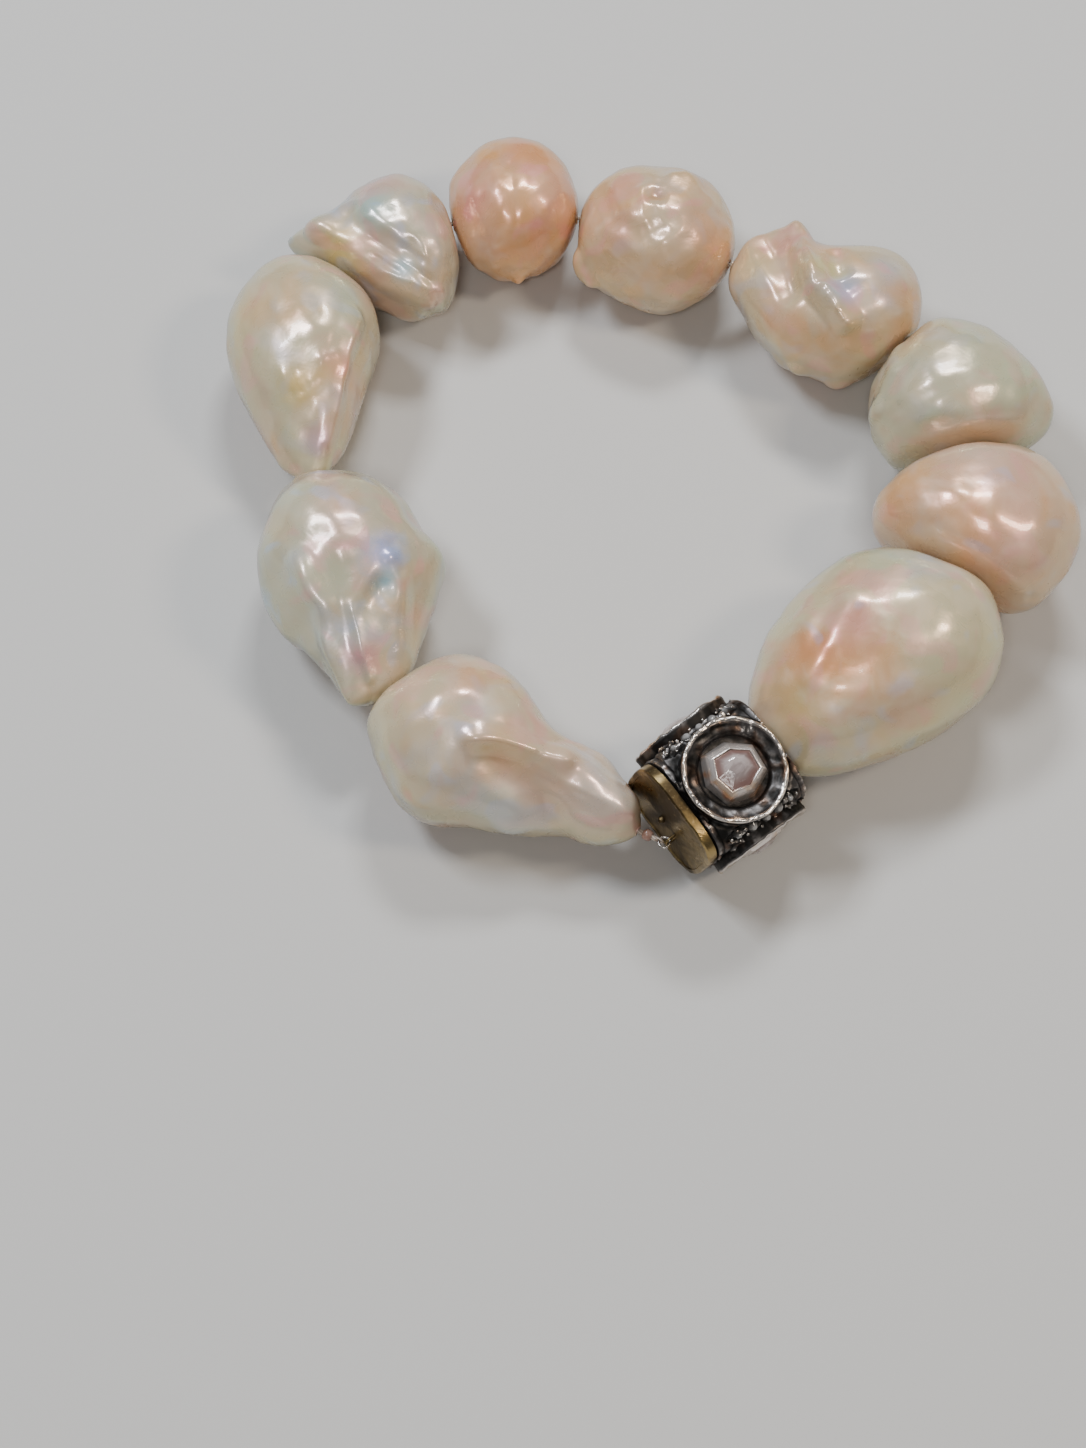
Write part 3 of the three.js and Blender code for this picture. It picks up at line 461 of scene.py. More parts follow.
pearl02 = dict(
    width=20.5, height=17.0, colour=(0.70, 0.535, 0.41), ripple=0.7, sway=0.07,
    tones=(0.5, 0.2, 0.6, 0.9),
    at=[0.02, 0.08, 0.18, 0.33, 0.48, 0.63, 0.78, 0.9, 0.97],
    inner=[0.22, 0.35, 0.45, 0.47, 0.47, 0.44, 0.39, 0.3, 0.18],
    outer=[0.22, 0.33, 0.41, 0.49, 0.53, 0.5, 0.42, 0.31, 0.18],
    top=[0.8, 0.88, 0.95, 1.0, 1.0, 0.98, 0.93, 0.82, 0.7],
    bottom=[0.3, 0.17, 0.06, 0.0, 0.0, 0.0, 0.05, 0.18, 0.33],
    lumps=[(0.55, -20, 0.12, 0.008), (0.35, 20, 0.12, -0.008)],
    folds=[],
    creases=[],
    tints=[
        (0.5, -50, 5.5, (0.78, 0.43, 0.21), 0.6), (0.22, -5, 5.5, (0.78, 0.45, 0.26), 0.6),
        (0.6, 15, 6.0, (0.75, 0.54, 0.47), 0.4), (0.8, 0, 5.0, (0.65, 0.65, 0.55), 0.4),
    ],
)
pearl03 = dict(
    width=17.9, height=16.5, colour=(0.55, 0.520, 0.40), ripple=0.8, sway=0.09,
    tones=(0.5, 1.0, 0.3, 0.4),
    at=[0.02, 0.08, 0.18, 0.33, 0.48, 0.62, 0.76, 0.88, 0.96],
    inner=[0.26, 0.36, 0.42, 0.44, 0.44, 0.41, 0.38, 0.32, 0.22],
    outer=[0.3, 0.45, 0.54, 0.56, 0.54, 0.48, 0.38, 0.27, 0.16],
    top=[0.8, 0.89, 0.96, 1.0, 1.0, 0.97, 0.9, 0.78, 0.65],
    bottom=[0.28, 0.15, 0.05, 0.0, 0.0, 0.01, 0.08, 0.2, 0.33],
    lumps=[(0.82, 12, 0.18, 0.035), (0.56, -75, 0.14, 0.04), (0.72, -40, 0.08, 0.012), (0.62, -30, 0.07, -0.01)],
    folds=[([(0.9, -30), (0.7, -45), (0.5, -70)], 0.08, 0.012)],
    creases=[],
    tints=[(0.8, 0, 5.0, (0.72, 0.50, 0.32), 0.5), (0.3, 30, 7.0, (0.55, 0.60, 0.43), 0.5)],
)
pearl04 = dict(
    width=16.0, height=14.5, colour=(0.64, 0.530, 0.39), ripple=0.9, sway=0.08,
    tones=(0.8, 0.4, 0.5, 0.8),
    at=[0.02, 0.07, 0.15, 0.27, 0.38, 0.49, 0.6, 0.72, 0.85, 0.95],
    inner=[0.2, 0.34, 0.43, 0.45, 0.47, 0.47, 0.41, 0.35, 0.26, 0.16],
    outer=[0.15, 0.25, 0.39, 0.5, 0.52, 0.47, 0.38, 0.36, 0.29, 0.17],
    top=[0.72, 0.86, 0.95, 1.0, 1.0, 0.97, 0.92, 0.86, 0.78, 0.67],
    bottom=[0.36, 0.2, 0.07, 0.0, 0.0, 0.0, 0.03, 0.1, 0.23, 0.38],
    lumps=[
        (0.78, 45, 0.15, 0.07), (0.9, 36, 0.2, 0.05), (0.14, -120, 0.12, 0.03), (0.36, -102, 0.12, 0.03),
        (0.76, 51, 0.09, 0.03), (0.55, -4, 0.06, 0.014), (0.46, -14, 0.05, -0.012), (0.37, -20, 0.06, 0.014),
        (0.33, -8, 0.09, -0.018), (0.42, 6, 0.08, -0.016), (0.66, 22, 0.05, 0.010),
    ],
    folds=[
        ([(0.72, 40), (0.61, 6), (0.43, -18), (0.29, -27), (0.21, -33)], 0.11, 0.07),
        ([(0.85, 20), (0.75, 0), (0.59, -27)], 0.12, -0.05),
        ([(0.5, 20), (0.42, 2)], 0.09, -0.03),
    ],
    creases=[
        ([(0.70, 36), (0.64, 14), (0.55, 2), (0.47, -16), (0.40, -15), (0.29, -27), (0.2, -34)], 0.05, 0.028),
        ([(0.55, 18), (0.47, -2), (0.36, -12)], 0.05, 0.012),
        ([(0.34, -14), (0.29, -27)], 0.05, 0.014),
    ],
    # the first two tints, yellow and blue along the ridge, are painted highlights
    tints=[
        (0.48, 2, 2.6, (0.66, 0.62, 0.36), 0.9), (0.32, -12, 2.6, (0.40, 0.50, 0.72), 0.8),
        (0.06, 40, 5.0, (0.75, 0.41, 0.26), 0.6), (0.85, 0, 5.0, (0.72, 0.57, 0.37), 0.5),
        (0.25, 30, 4.0, (0.55, 0.57, 0.65), 0.5),
    ],
)
pearl05 = dict(
    width=15.6, height=14.6, colour=(0.68, 0.520, 0.37), ripple=1.1, sway=0.09,
    tones=(0.8, 0.2, 0.3, 0.9),
    at=[0.02, 0.06, 0.13, 0.23, 0.34, 0.46, 0.58, 0.7, 0.81, 0.91, 0.97],
    inner=[0.13, 0.22, 0.31, 0.4, 0.45, 0.46, 0.45, 0.44, 0.42, 0.38, 0.27],
    outer=[0.15, 0.27, 0.37, 0.46, 0.52, 0.53, 0.48, 0.44, 0.37, 0.25, 0.14],
    top=[0.66, 0.75, 0.85, 0.94, 1.0, 1.0, 0.99, 0.95, 0.88, 0.77, 0.64],
    bottom=[0.37, 0.28, 0.17, 0.06, 0.0, 0.0, 0.0, 0.02, 0.07, 0.2, 0.33],
    lumps=[
        (0.4, 33, 0.16, 0.035), (0.95, -99, 0.12, 0.06), (0.87, -99, 0.12, 0.05), (0.52, 6, 0.1, -0.03),
        (0.47, 30, 0.05, 0.008), (0.53, 20, 0.05, -0.012),
    ],
    folds=[([(0.87, 12), (0.76, -21), (0.54, -33), (0.38, -15)], 0.1, -0.02)],
    creases=[
        ([(0.62, 10), (0.56, -14), (0.46, -30)], 0.05, 0.010), ([(0.5, 0), (0.44, -14), (0.36, -18)], 0.04, 0.008),
        ([(0.40, 34), (0.30, 27), (0.22, 30)], 0.05, 0.010), ([(0.75, -50), (0.66, -58), (0.55, -62)], 0.04, 0.008),
    ],
    tints=[
        (0.52, 8, 1.2, (0.28, 0.11, 0.04), 0.7), (0.42, -20, 4.0, (0.70, 0.62, 0.48), 0.5),
        (0.8, 0, 4.5, (0.78, 0.50, 0.28), 0.5), (0.2, 0, 4.5, (0.72, 0.50, 0.43), 0.5),
    ],
)
pearl06 = dict(
    width=14.8, height=13.6, colour=(0.70, 0.465, 0.325), ripple=0.9, sway=0.07,
    tones=(1.0, 0.1, 0.2, 1.0),
    at=[0.02, 0.07, 0.16, 0.3, 0.45, 0.58, 0.7, 0.82, 0.92, 0.98],
    inner=[0.12, 0.23, 0.3, 0.36, 0.39, 0.4, 0.39, 0.35, 0.31, 0.2],
    outer=[0.15, 0.28, 0.42, 0.58, 0.64, 0.63, 0.58, 0.46, 0.35, 0.18],
    top=[0.66, 0.78, 0.89, 0.97, 1.0, 1.0, 0.96, 0.88, 0.77, 0.63],
    bottom=[0.37, 0.25, 0.12, 0.02, 0.0, 0.0, 0.02, 0.11, 0.24, 0.4],
    lumps=[(0.5, -108, 0.13, 0.03), (0.5, -109, 0.07, 0.022), (0.84, 2, 0.10, 0.012)],
    folds=[([(0.55, 30), (0.53, -6), (0.5, -72)], 0.12, -0.012)],
    creases=[([(0.53, 20), (0.51, -10), (0.5, -40)], 0.04, -0.006), ([(0.66, 20), (0.63, 4)], 0.04, 0.005)],
    tints=[
        (0.86, -5, 3.5, (0.75, 0.36, 0.36), 0.7), (0.3, 0, 5.0, (0.80, 0.60, 0.44), 0.5),
        (0.5, -60, 5.0, (0.70, 0.40, 0.24), 0.5),
    ],
)
pearl07 = dict(
    width=16.2, height=14.4, colour=(0.58, 0.530, 0.43), ripple=1.0, sway=0.10,
    tones=(0.7, 0.9, 0.8, 0.4),
    at=[0.02, 0.08, 0.17, 0.3, 0.45, 0.58, 0.7, 0.82, 0.92, 0.98],
    inner=[0.24, 0.35, 0.43, 0.49, 0.53, 0.53, 0.51, 0.47, 0.4, 0.26],
    outer=[0.17, 0.28, 0.38, 0.46, 0.46, 0.41, 0.38, 0.37, 0.36, 0.31],
    top=[0.66, 0.78, 0.88, 0.97, 1.0, 1.0, 0.97, 0.9, 0.8, 0.67],
    bottom=[0.32, 0.2, 0.1, 0.01, 0.0, 0.0, 0.02, 0.08, 0.2, 0.36],
    lumps=[(0.87, 34, 0.15, 0.055), (0.83, -114, 0.2, 0.04)],
    folds=[
        ([(0.93, -20), (0.90, -60), (0.72, -78)], 0.14, 0.035),
        ([(0.73, 24), (0.73, -12), (0.59, -33)], 0.14, -0.04),
    ],
    creases=[
        ([(0.88, 14), (0.87, -40), (0.72, -60), (0.5, -72)], 0.07, 0.020),
        ([(0.66, 6), (0.58, -22), (0.48, -40)], 0.06, 0.010),
        ([(0.76, -10), (0.70, -40), (0.56, -60)], 0.08, -0.022),
    ],
    # the teal tint near the top and the cyan tint along the fold are painted blue-green highlights
    tints=[
        (0.4, 40, 5.0, (0.70, 0.43, 0.43), 0.6), (0.6, 10, 4.0, (0.39, 0.57, 0.55), 0.7),
        (0.74, -44, 2.0, (0.25, 0.58, 0.80), 0.8), (0.93, 0, 5.0, (0.74, 0.60, 0.30), 0.8),
        (0.7, -60, 5.0, (0.78, 0.67, 0.45), 0.6),
    ],
)
pearl08 = dict(
    width=15.7, height=14.8, colour=(0.62, 0.540, 0.40), ripple=0.7, sway=0.07,
    tones=(0.8, 0.8, 0.4, 0.7),
    at=[0.02, 0.06, 0.12, 0.21, 0.31, 0.41, 0.51, 0.62, 0.73, 0.84, 0.94],
    inner=[0.2, 0.28, 0.33, 0.35, 0.34, 0.32, 0.28, 0.25, 0.23, 0.19, 0.12],
    outer=[0.2, 0.3, 0.42, 0.53, 0.62, 0.66, 0.64, 0.55, 0.43, 0.3, 0.16],
    top=[0.68, 0.8, 0.89, 0.96, 1.0, 1.0, 0.98, 0.93, 0.85, 0.74, 0.61],
    bottom=[0.34, 0.22, 0.11, 0.03, 0.0, 0.0, 0.0, 0.04, 0.11, 0.21, 0.34],
    lumps=[
        (0.66, 10, 0.14, -0.010), (0.72, 20, 0.05, -0.008), (0.68, -6, 0.05, -0.008), (0.63, 14, 0.04, -0.007),
        (0.67, 4, 0.04, 0.006), (0.71, 12, 0.04, -0.007), (0.65, 24, 0.04, 0.005), (0.7, -1, 0.04, -0.006),
    ],
    folds=[
        ([(0.30, -40), (0.46, -36), (0.66, -33), (0.88, -27), (0.96, -33)], 0.12, 0.032),
        ([(0.57, 12), (0.49, -27)], 0.14, -0.010),
    ],
    creases=[([(0.58, -6), (0.53, -24)], 0.05, 0.009), ([(0.42, -37), (0.66, -36), (0.88, -30)], 0.05, 0.014)],
    tints=[
        (0.68, 12, 3.4, (0.64, 0.48, 0.24), 0.85), (0.22, -10, 6.0, (0.50, 0.55, 0.46), 0.6),
        (0.88, -12, 2.6, (0.52, 0.36, 0.40), 0.75), (0.4, 42, 6.0, (0.78, 0.55, 0.34), 0.6),
    ],
)
pearl09 = dict(
    width=17.8, height=16.4, colour=(0.58, 0.540, 0.43), ripple=0.9, sway=0.10,
    tones=(0.8, 0.9, 0.8, 0.5),
    at=[0.02, 0.06, 0.13, 0.24, 0.35, 0.46, 0.56, 0.64, 0.72, 0.8, 0.88, 0.96],
    inner=[0.22, 0.33, 0.41, 0.46, 0.49, 0.52, 0.53, 0.51, 0.45, 0.38, 0.31, 0.21],
    outer=[0.12, 0.2, 0.3, 0.41, 0.47, 0.47, 0.43, 0.35, 0.3, 0.26, 0.22, 0.14],
    top=[0.62, 0.74, 0.86, 0.96, 1.0, 1.0, 0.98, 0.93, 0.85, 0.77, 0.68, 0.58],
    bottom=[0.28, 0.2, 0.1, 0.01, 0.0, 0.0, 0.0, 0.02, 0.06, 0.12, 0.2, 0.31],
    lumps=[
        (0.63, -75, 0.22, 0.034), (0.58, 9, 0.2, -0.05), (0.7, -15, 0.12, -0.03),
        (0.60, -25, 0.06, 0.014), (0.66, -32, 0.05, -0.012), (0.55, -30, 0.05, -0.010),
    ],
    folds=[
        ([(0.47, 33), (0.64, 33), (0.74, 48), (0.94, 70)], 0.11, 0.04),
        ([(0.62, -30), (0.88, -30)], 0.12, 0.03),
    ],
    creases=[
        ([(0.72, 10), (0.84, 14), (0.94, 20)], 0.05, 0.014), ([(0.68, -10), (0.78, -16)], 0.06, 0.008),
        ([(0.72, 46), (0.82, 56), (0.93, 70)], 0.05, 0.014),
    ],
    # the blue and cyan tints are the pitted patch's own colour with a painted highlight on it
    tints=[
        (0.58, 12, 3.6, (0.42, 0.44, 0.32), 0.8), (0.58, -24, 3.4, (0.38, 0.48, 0.78), 0.85),
        (0.68, -20, 2.4, (0.34, 0.62, 0.72), 0.85), (0.86, 24, 2.6, (0.56, 0.34, 0.38), 0.8),
        (0.76, 52, 1.3, (0.30, 0.16, 0.06), 0.6), (0.3, 20, 6.0, (0.65, 0.65, 0.50), 0.4),
    ],
)
pearl10 = dict(
    width=17.0, height=15.8, colour=(0.67, 0.580, 0.445), ripple=0.7, sway=0.08,
    tones=(0.7, 0.6, 0.6, 0.7),
    at=[0.02, 0.06, 0.13, 0.23, 0.33, 0.42, 0.52, 0.61, 0.69, 0.77, 0.85, 0.92, 0.975],
    inner=[0.33, 0.42, 0.45, 0.45, 0.42, 0.37, 0.3, 0.26, 0.28, 0.28, 0.23, 0.18, 0.09],
    outer=[0.12, 0.23, 0.34, 0.45, 0.53, 0.54, 0.45, 0.4, 0.32, 0.23, 0.21, 0.17, 0.09],
    top=[0.68, 0.8, 0.9, 0.99, 1.0, 0.97, 0.88, 0.8, 0.74, 0.7, 0.63, 0.56, 0.47],
    bottom=[0.28, 0.18, 0.08, 0.0, 0.0, 0.0, 0.02, 0.05, 0.07, 0.1, 0.14, 0.2, 0.29],
    lumps=[(0.65, 84, 0.14, 0.03)],
    folds=[
        ([(0.44, 15), (0.55, 3), (0.68, -3)], 0.12, 0.04),
        ([(0.5, 24), (0.65, 33), (0.73, 60)], 0.14, -0.045),
        ([(0.69, -9), (0.83, -6), (0.93, -15)], 0.16, 0.06),
    ],
    creases=[
        ([(0.42, 18), (0.5, 9), (0.6, 2), (0.7, -4)], 0.05, 0.022),
        ([(0.7, 12), (0.84, 8), (0.95, 0)], 0.05, 0.012),
    ],
    tints=[
        (0.12, 10, 6.0, (0.74, 0.60, 0.43), 0.6), (0.38, 0, 3.0, (0.50, 0.56, 0.60), 0.5),
        (0.69, 26, 2.0, (0.55, 0.45, 0.37), 0.5), (0.85, -10, 6.0, (0.72, 0.68, 0.62), 0.9),
        (0.6, 60, 5.0, (0.55, 0.62, 0.62), 0.5),
    ],
)
pearls = [pearl01, pearl02, pearl03, pearl04, pearl05, pearl06, pearl07, pearl08, pearl09, pearl10]
pearlMesh = dict(
    segments=168, rings=112, polesOff=3, calmEnds=0.12, swayLengths=(6.5, 2.6), swayShare=0.35, creaseTaper=1.6,
)


def drillHole(piece, shape, unit):  # takes off both poles and joins the two openings by a straight hole
    rings = pearlMesh["rings"]
    ring = np.round(np.degrees(np.arccos(np.clip(np.abs(unit[:, 0]), 0, 1))) / (180 / rings)).astype(int)
    along = (shape.end - shape.start).normalized()
    across = Vector((-along.y, along.x, 0)).normalized()
    above = along.cross(across)
    points = pointsOf(piece)
    for end, middle in ((-1, shape.start), (1, shape.end)):
        rim = (ring == pearlMesh["polesOff"]) & (unit[:, 0] * end > 0)
        distance = ((points[rim] / mm - np.array(middle)) @ np.array(along)).mean()
        angle = np.arctan2(unit[rim, 2], unit[rim, 1])
        circle = np.cos(angle)[:, None] * np.array(across) + np.sin(angle)[:, None] * np.array(above)
        points[rim] = (np.array(middle) + np.array(along) * distance + circle * string["drillRadius"]) * mm
    putPoints(piece, points)
    bridgeOpenings(piece, ring < pearlMesh["polesOff"])


def makePearl(index, pearl):
    name = "pearl_%02d" % (index + 1)
    shape = PearlShape(index, pearl)
    deselectAll()
    bpy.ops.mesh.primitive_uv_sphere_add(segments=pearlMesh["segments"], ring_count=pearlMesh["rings"], radius=1.0)
    piece = named("nacre_" + name)
    unit = pointsOf(piece)[:, [2, 0, 1]]
    unit /= np.linalg.norm(unit, axis=1)[:, None]
    points = shape.upright(unit)
    putPoints(piece, points)
    normal = normalsOf(piece)
    longSway, shortSway = pearlMesh["swayLengths"]
    rise = pearl["sway"] * waves(points, longSway, 40 + index)
    rise = rise + pearlMesh["swayShare"] * pearl["sway"] * waves(points, shortSway, 60 + index)
    rise = rise * np.clip((1 - np.abs(unit[:, 0])) / pearlMesh["calmEnds"], 0, 1)
    lumps = [([(at, turn)], spread, height) for at, turn, spread, height in pearl["lumps"]]
    for stops, spread, height in lumps + pearl["folds"]:
        near = shape.nearness(points, stops, spread * pearl["width"])
        rise += height * pearl["width"] * (1 - (1 - near) ** 2) ** 2
    for stops, spread, height in pearl["creases"]:
        near = shape.nearness(points, stops, spread * pearl["width"])
        rise += height * pearl["width"] * near ** pearlMesh["creaseTaper"]
    putPoints(piece, shape.settled(points + normal * rise[:, None]))
    drillHole(piece, shape, unit)
    patches = [
        (tuple(shape.settled(shape.at([(at, turn)]))[0]), radius * mm, tint, strength)
        for at, turn, radius, tint, strength in pearl["tints"]
    ]
    finishPiece(piece, nacreMaterial("nacre_%02d" % (index + 1), pearl, patches), name, 50)


for number, pearl in enumerate(pearls):
    makePearl(number, pearl)
print("ten pearls shaped and drilled")


# old silver: black in the hollows, grey on the flats and bright where it is worn, with warm glints
silver = dict(
    mottle=(1400.0, 4.0, 0.6), mottled=0.55, toFace=(0.10, 0.55), toEdge=(0.52, 0.95), warmAt=(0.31, 0.12, 0.07),
    warm=(420.0, 2.0), warmRange=(0.52, 0.66), warmTint=(0.52, 0.28, 0.15), roughness=(0.1, 0.9, 0.50, 0.20),
    pits=(3200.0, 3.0, 0.6), pitStrength=0.35, fineDepth=0.00008,
)


def silverMaterial(name, hollow, face, edge, warmth, metallic):
    material, shader, place = newMaterial(name, face)
    worn = painted(place, "wear") + (noise(place, *silver["mottle"]) - 0.5) * silver["mottled"]
    colour = worn.ramp(*silver["toFace"]).blend(hollow, face)
    colour = worn.ramp(*silver["toEdge"]).blend(colour, edge)
    warm = noise(shifted(place, silver["warmAt"]), *silver["warm"])
    colour = warm.ramp(*silver["warmRange"], 0.0, warmth).blend(colour, silver["warmTint"], "OVERLAY")
    feed(colour, shader, "Base Color")
    feed(worn.ramp(*silver["roughness"]), shader, "Roughness")
    roughen(noise(place, *silver["pits"]), shader, silver["pitStrength"], silver["fineDepth"])
    setShader(shader, Metallic=metallic)
    return material


# old gold: a dull yellow face with brown tarnish and fine scratches
gold = dict(
    face=(0.45, 0.34, 0.17), clean=(0.36, 0.26, 0.11), dull=(0.085, 0.06, 0.03), bright=(0.60, 0.46, 0.24),
    tarnish=(260.0, 4.0, 0.6, 0.5), speckle=(1500.0, 3.0, 0.6), lines=(500.0, 3.0, 0.7), lineStrength=0.3,
    lineTurn=(0.2, 0.6, 0.9), lineStretch=(1, 9, 1),
)


def goldMaterial():
    material, shader, place = newMaterial("old_gold", gold["face"])
    tarnish = noise(place, *gold["tarnish"])
    colour = tarnish.ramp(0.38, 0.60).blend(gold["clean"], gold["dull"])
    colour = noise(place, *gold["speckle"]).ramp(0.60, 0.74, 0.0, 0.5).blend(colour, gold["bright"])
    feed(colour, shader, "Base Color")
    feed(tarnish.ramp(0.35, 0.65, 0.26, 0.46), shader, "Roughness")
    mapping = {"Vector": place, "Rotation": gold["lineTurn"], "Scale": gold["lineStretch"]}
    scratches = noise(place.node("ShaderNodeMapping", None, mapping), *gold["lines"])
    roughen(scratches, shader, gold["lineStrength"], silver["fineDepth"])
    setShader(shader, Metallic=1.0)
    return material


# cut stones: pale pinkish grey crystal with darker flaws, and painted shade that darkens the side facets towards the
# girdle
crystal = dict(cloud=(520.0, 3.0, 0.6, 0.8), flaw=(1900.0, 2.0, 0.5, 1.5), flawTint=(0.70, 0.66, 0.64))


def stoneMaterial(name, pale, dark, sideShade):
    material, shader, place = newMaterial(name, pale)
    flaw = noise(place, *crystal["flaw"])
    colour = noise(place, *crystal["cloud"]).ramp(0.36, 0.62).blend(pale, dark)
    colour = flaw.ramp(0.62, 0.72, 0.0, 0.35).blend(colour, crystal["flawTint"])
    # painted shade: the stone turns darker down its side facets towards the girdle
    colour = painted(place, "side").ramp(0.1, 0.8, 0.0, 0.85).blend(colour, sideShade)
    feed(colour, shader, "Base Color")
    feed(flaw.ramp(0.3, 0.7, 0.03, 0.10), shader, "Roughness")
    setShader(shader, **{"IOR": 2.1, "Coat Weight": 0.4, "Coat Roughness": 0.02})
    return material


def silkMaterial():
    material, shader, place = newMaterial("silk_thread", (0.7, 0.6, 0.5))
    strands = place.node("ShaderNodeTexWave", {"wave_type": "BANDS", "bands_direction": "DIAGONAL"},
                         {"Vector": place, "Scale": 1400.0, "Distortion": 1.0}, output=1)
    feed(strands.ramp(0.2, 0.8).blend((0.42, 0.32, 0.25), (0.74, 0.63, 0.53)), shader, "Base Color")
    feed(strands.ramp(0.0, 1.0, 0.9, 0.7), shader, "Roughness")
    roughen(strands, shader, 0.6, 0.0001)
    return material


def dropMaterial():
    material, shader, place = newMaterial("amber_drop", (0.45, 0.28, 0.22))
    cloud = noise(place, 900.0, 3.0, 0.6)
    feed(cloud.ramp(0.35, 0.65).blend((0.50, 0.30, 0.23), (0.26, 0.13, 0.09)), shader, "Base Color")
    feed(cloud.ramp(0.3, 0.7, 0.16, 0.34), shader, "Roughness")
    setShader(shader, **{"Coat Weight": 0.5, "Coat Roughness": 0.08})
    return material


# hollow, face, worn edge, warmth and metallic of the silvers; pale, dark and painted side shade of the stones
oldSilver = silverMaterial("old_silver", (0.022, 0.021, 0.020), (0.13, 0.12, 0.115), (0.72, 0.66, 0.60), 0.6, 0.95)
paleSilver = silverMaterial("pale_silver", (0.20, 0.17, 0.15), (0.58, 0.52, 0.48), (0.80, 0.73, 0.68), 0.9, 0.7)
oldGold = goldMaterial()
paleStone = stoneMaterial("pale_stone", (0.44, 0.375, 0.36), (0.26, 0.21, 0.20), (0.15, 0.07, 0.055))
bandStone = stoneMaterial("band_stone", (0.34, 0.33, 0.32), (0.13, 0.125, 0.12), (0.06, 0.055, 0.05))
silkThread, amberDrop = silkMaterial(), dropMaterial()


# the clasp's own frame: x runs along it from its left end, y inwards and z up, in millimetres
clasp = dict(
    plateThickness=0.9, plateSeam=0.25, endAcross=11.4, middleAcross=12.8, cornerPower=3.6,
    sides=240, rows=84, hammering=0.05,
    endMoulding=(0.32, 0.10), endGroove=(0.62, 0.16, -0.12),
    bandLength=9.2, bandWidth=2.7, bandProud=0.16,
)

# relief of the barrel in millimetres: lines along a corner band are (distance from its edge, width, height),
# hollows round a medallion (radius, width, depth), pockets (half sizes, corner power, depth)
carving = dict(
    cornerShare=0.93, cornerStretch=1.15, bandFade=0.3, bandEdge=0.35, bandHollow=(0.10, 0.8),
    bandLines=[(0.0, 0.30, 0.14), (0.50, 0.34, -0.22), (0.88, 0.28, 0.10)], petalFade=0.6,
    ringGroove=(5.35, 0.36, 0.22), well=(5.0, 0.35, 1.7), wear=(0.35, 2.1), capShare=0.5,
    tonguePocket=((2.5, 1.2), 8.0, 4.3), cordBore=((string["drillRadius"],) * 2, 2.0, 3.6),
)
bodyStart = string["gap"] / 2 + clasp["plateThickness"] + clasp["plateSeam"]
bodyLength = claspLength - string["gap"] / 2 - bodyStart
bodyMiddle = bodyStart + bodyLength / 2
claspFrame = (Matrix.Scale(mm, 4) @ Matrix.Translation(claspStart)
              @ Matrix.Rotation(headingBetween(claspStart, claspEnd), 4, "Z"))
rolledFrame = claspFrame @ Matrix.Rotation(claspRoll, 4, "X")
bodyFrame = rolledFrame @ Matrix.Translation((bodyMiddle, 0, 0))


def quarterTurn(quarter):
    return Matrix.Rotation(quarter * math.pi / 2, 4, "X")


def bump(distance, width):  # 1 on the line, 0 at its width, round on top
    share = np.clip(np.abs(distance) / width, 0, 1)
    return (1 - share * share) ** 2


def halfAcrossAt(x):
    share = np.minimum(np.abs(2 * x / bodyLength), 1)
    return (clasp["middleAcross"] + (clasp["endAcross"] - clasp["middleAcross"]) * share * share) / 2


def squared(points, halfAcross):  # gives a unit cylinder round x the clasp's rounded square section
    power = clasp["cornerPower"]
    radius = (np.abs(points[:, 1]) ** power + np.abs(points[:, 2]) ** power) ** (1 / power)
    grow = np.where(radius > 1e-6, halfAcross / np.maximum(radius, 1e-6), 0)
    return np.stack([points[:, 0], points[:, 1] * grow, points[:, 2] * grow], axis=1)


def addDrum(name, sides, length, rows):  # a unit drum round x, extruded row by row from its left face
    deselectAll()
    bpy.ops.mesh.primitive_circle_add(vertices=sides, radius=1.0, fill_type="NGON")
    drum = named(name)
    bpy.ops.object.mode_set(mode="EDIT")
    bpy.ops.mesh.select_mode(type="FACE")
    bpy.ops.mesh.select_all(action="SELECT")
    bpy.ops.transform.translate(value=(0, 0, -length / 2))
    for _ in range(rows):
        bpy.ops.mesh.extrude_region_move(TRANSFORM_OT_translate={"value": (0, 0, length / rows)})
    bpy.ops.mesh.select_all(action="SELECT")
    bpy.ops.mesh.normals_make_consistent(inside=False)
    closeEdit()
    putPoints(drum, pointsOf(drum)[:, [2, 0, 1]])
    return drum


def sinkCap(piece, end, half, power, depth):  # sinks a pocket of the given half sizes into one end of a drum
    pick(piece, "FACE", "polygons", lambda face: len(face.vertices) > 8 and face.normal.x * end > 0.9)
    bpy.ops.mesh.extrude_region_move(TRANSFORM_OT_translate={"value": (0, 0, 0)})
    bpy.ops.object.mode_set(mode="OBJECT")
    points = pointsOf(piece)
    rim = np.array([vertex.select for vertex in piece.data.vertices])
    angle = np.arctan2(points[rim, 2], points[rim, 1])
    reach = (np.abs(np.cos(angle) / half[0]) ** power + np.abs(np.sin(angle) / half[1]) ** power) ** (-1 / power)
    points[rim, 1], points[rim, 2] = reach * np.cos(angle), reach * np.sin(angle)
    putPoints(piece, points)
    bpy.ops.object.mode_set(mode="EDIT")
    bpy.ops.mesh.extrude_region_move(TRANSFORM_OT_translate={"value": (-end * depth, 0, 0)})
    closeEdit()


# carved petals at the right end of each face, the left end's are their mirror:
# (x, over, direction in degrees, length, half width, height, whether the other side has it too)
petals = [
    (4.55, 1.25, 62, 2.6, 0.62, 0.24, True), (4.75, 0.35, 84, 1.5, 0.40, 0.20, False),
    (3.35, 3.7, 120, 2.4, 0.55, 0.20, True),
]


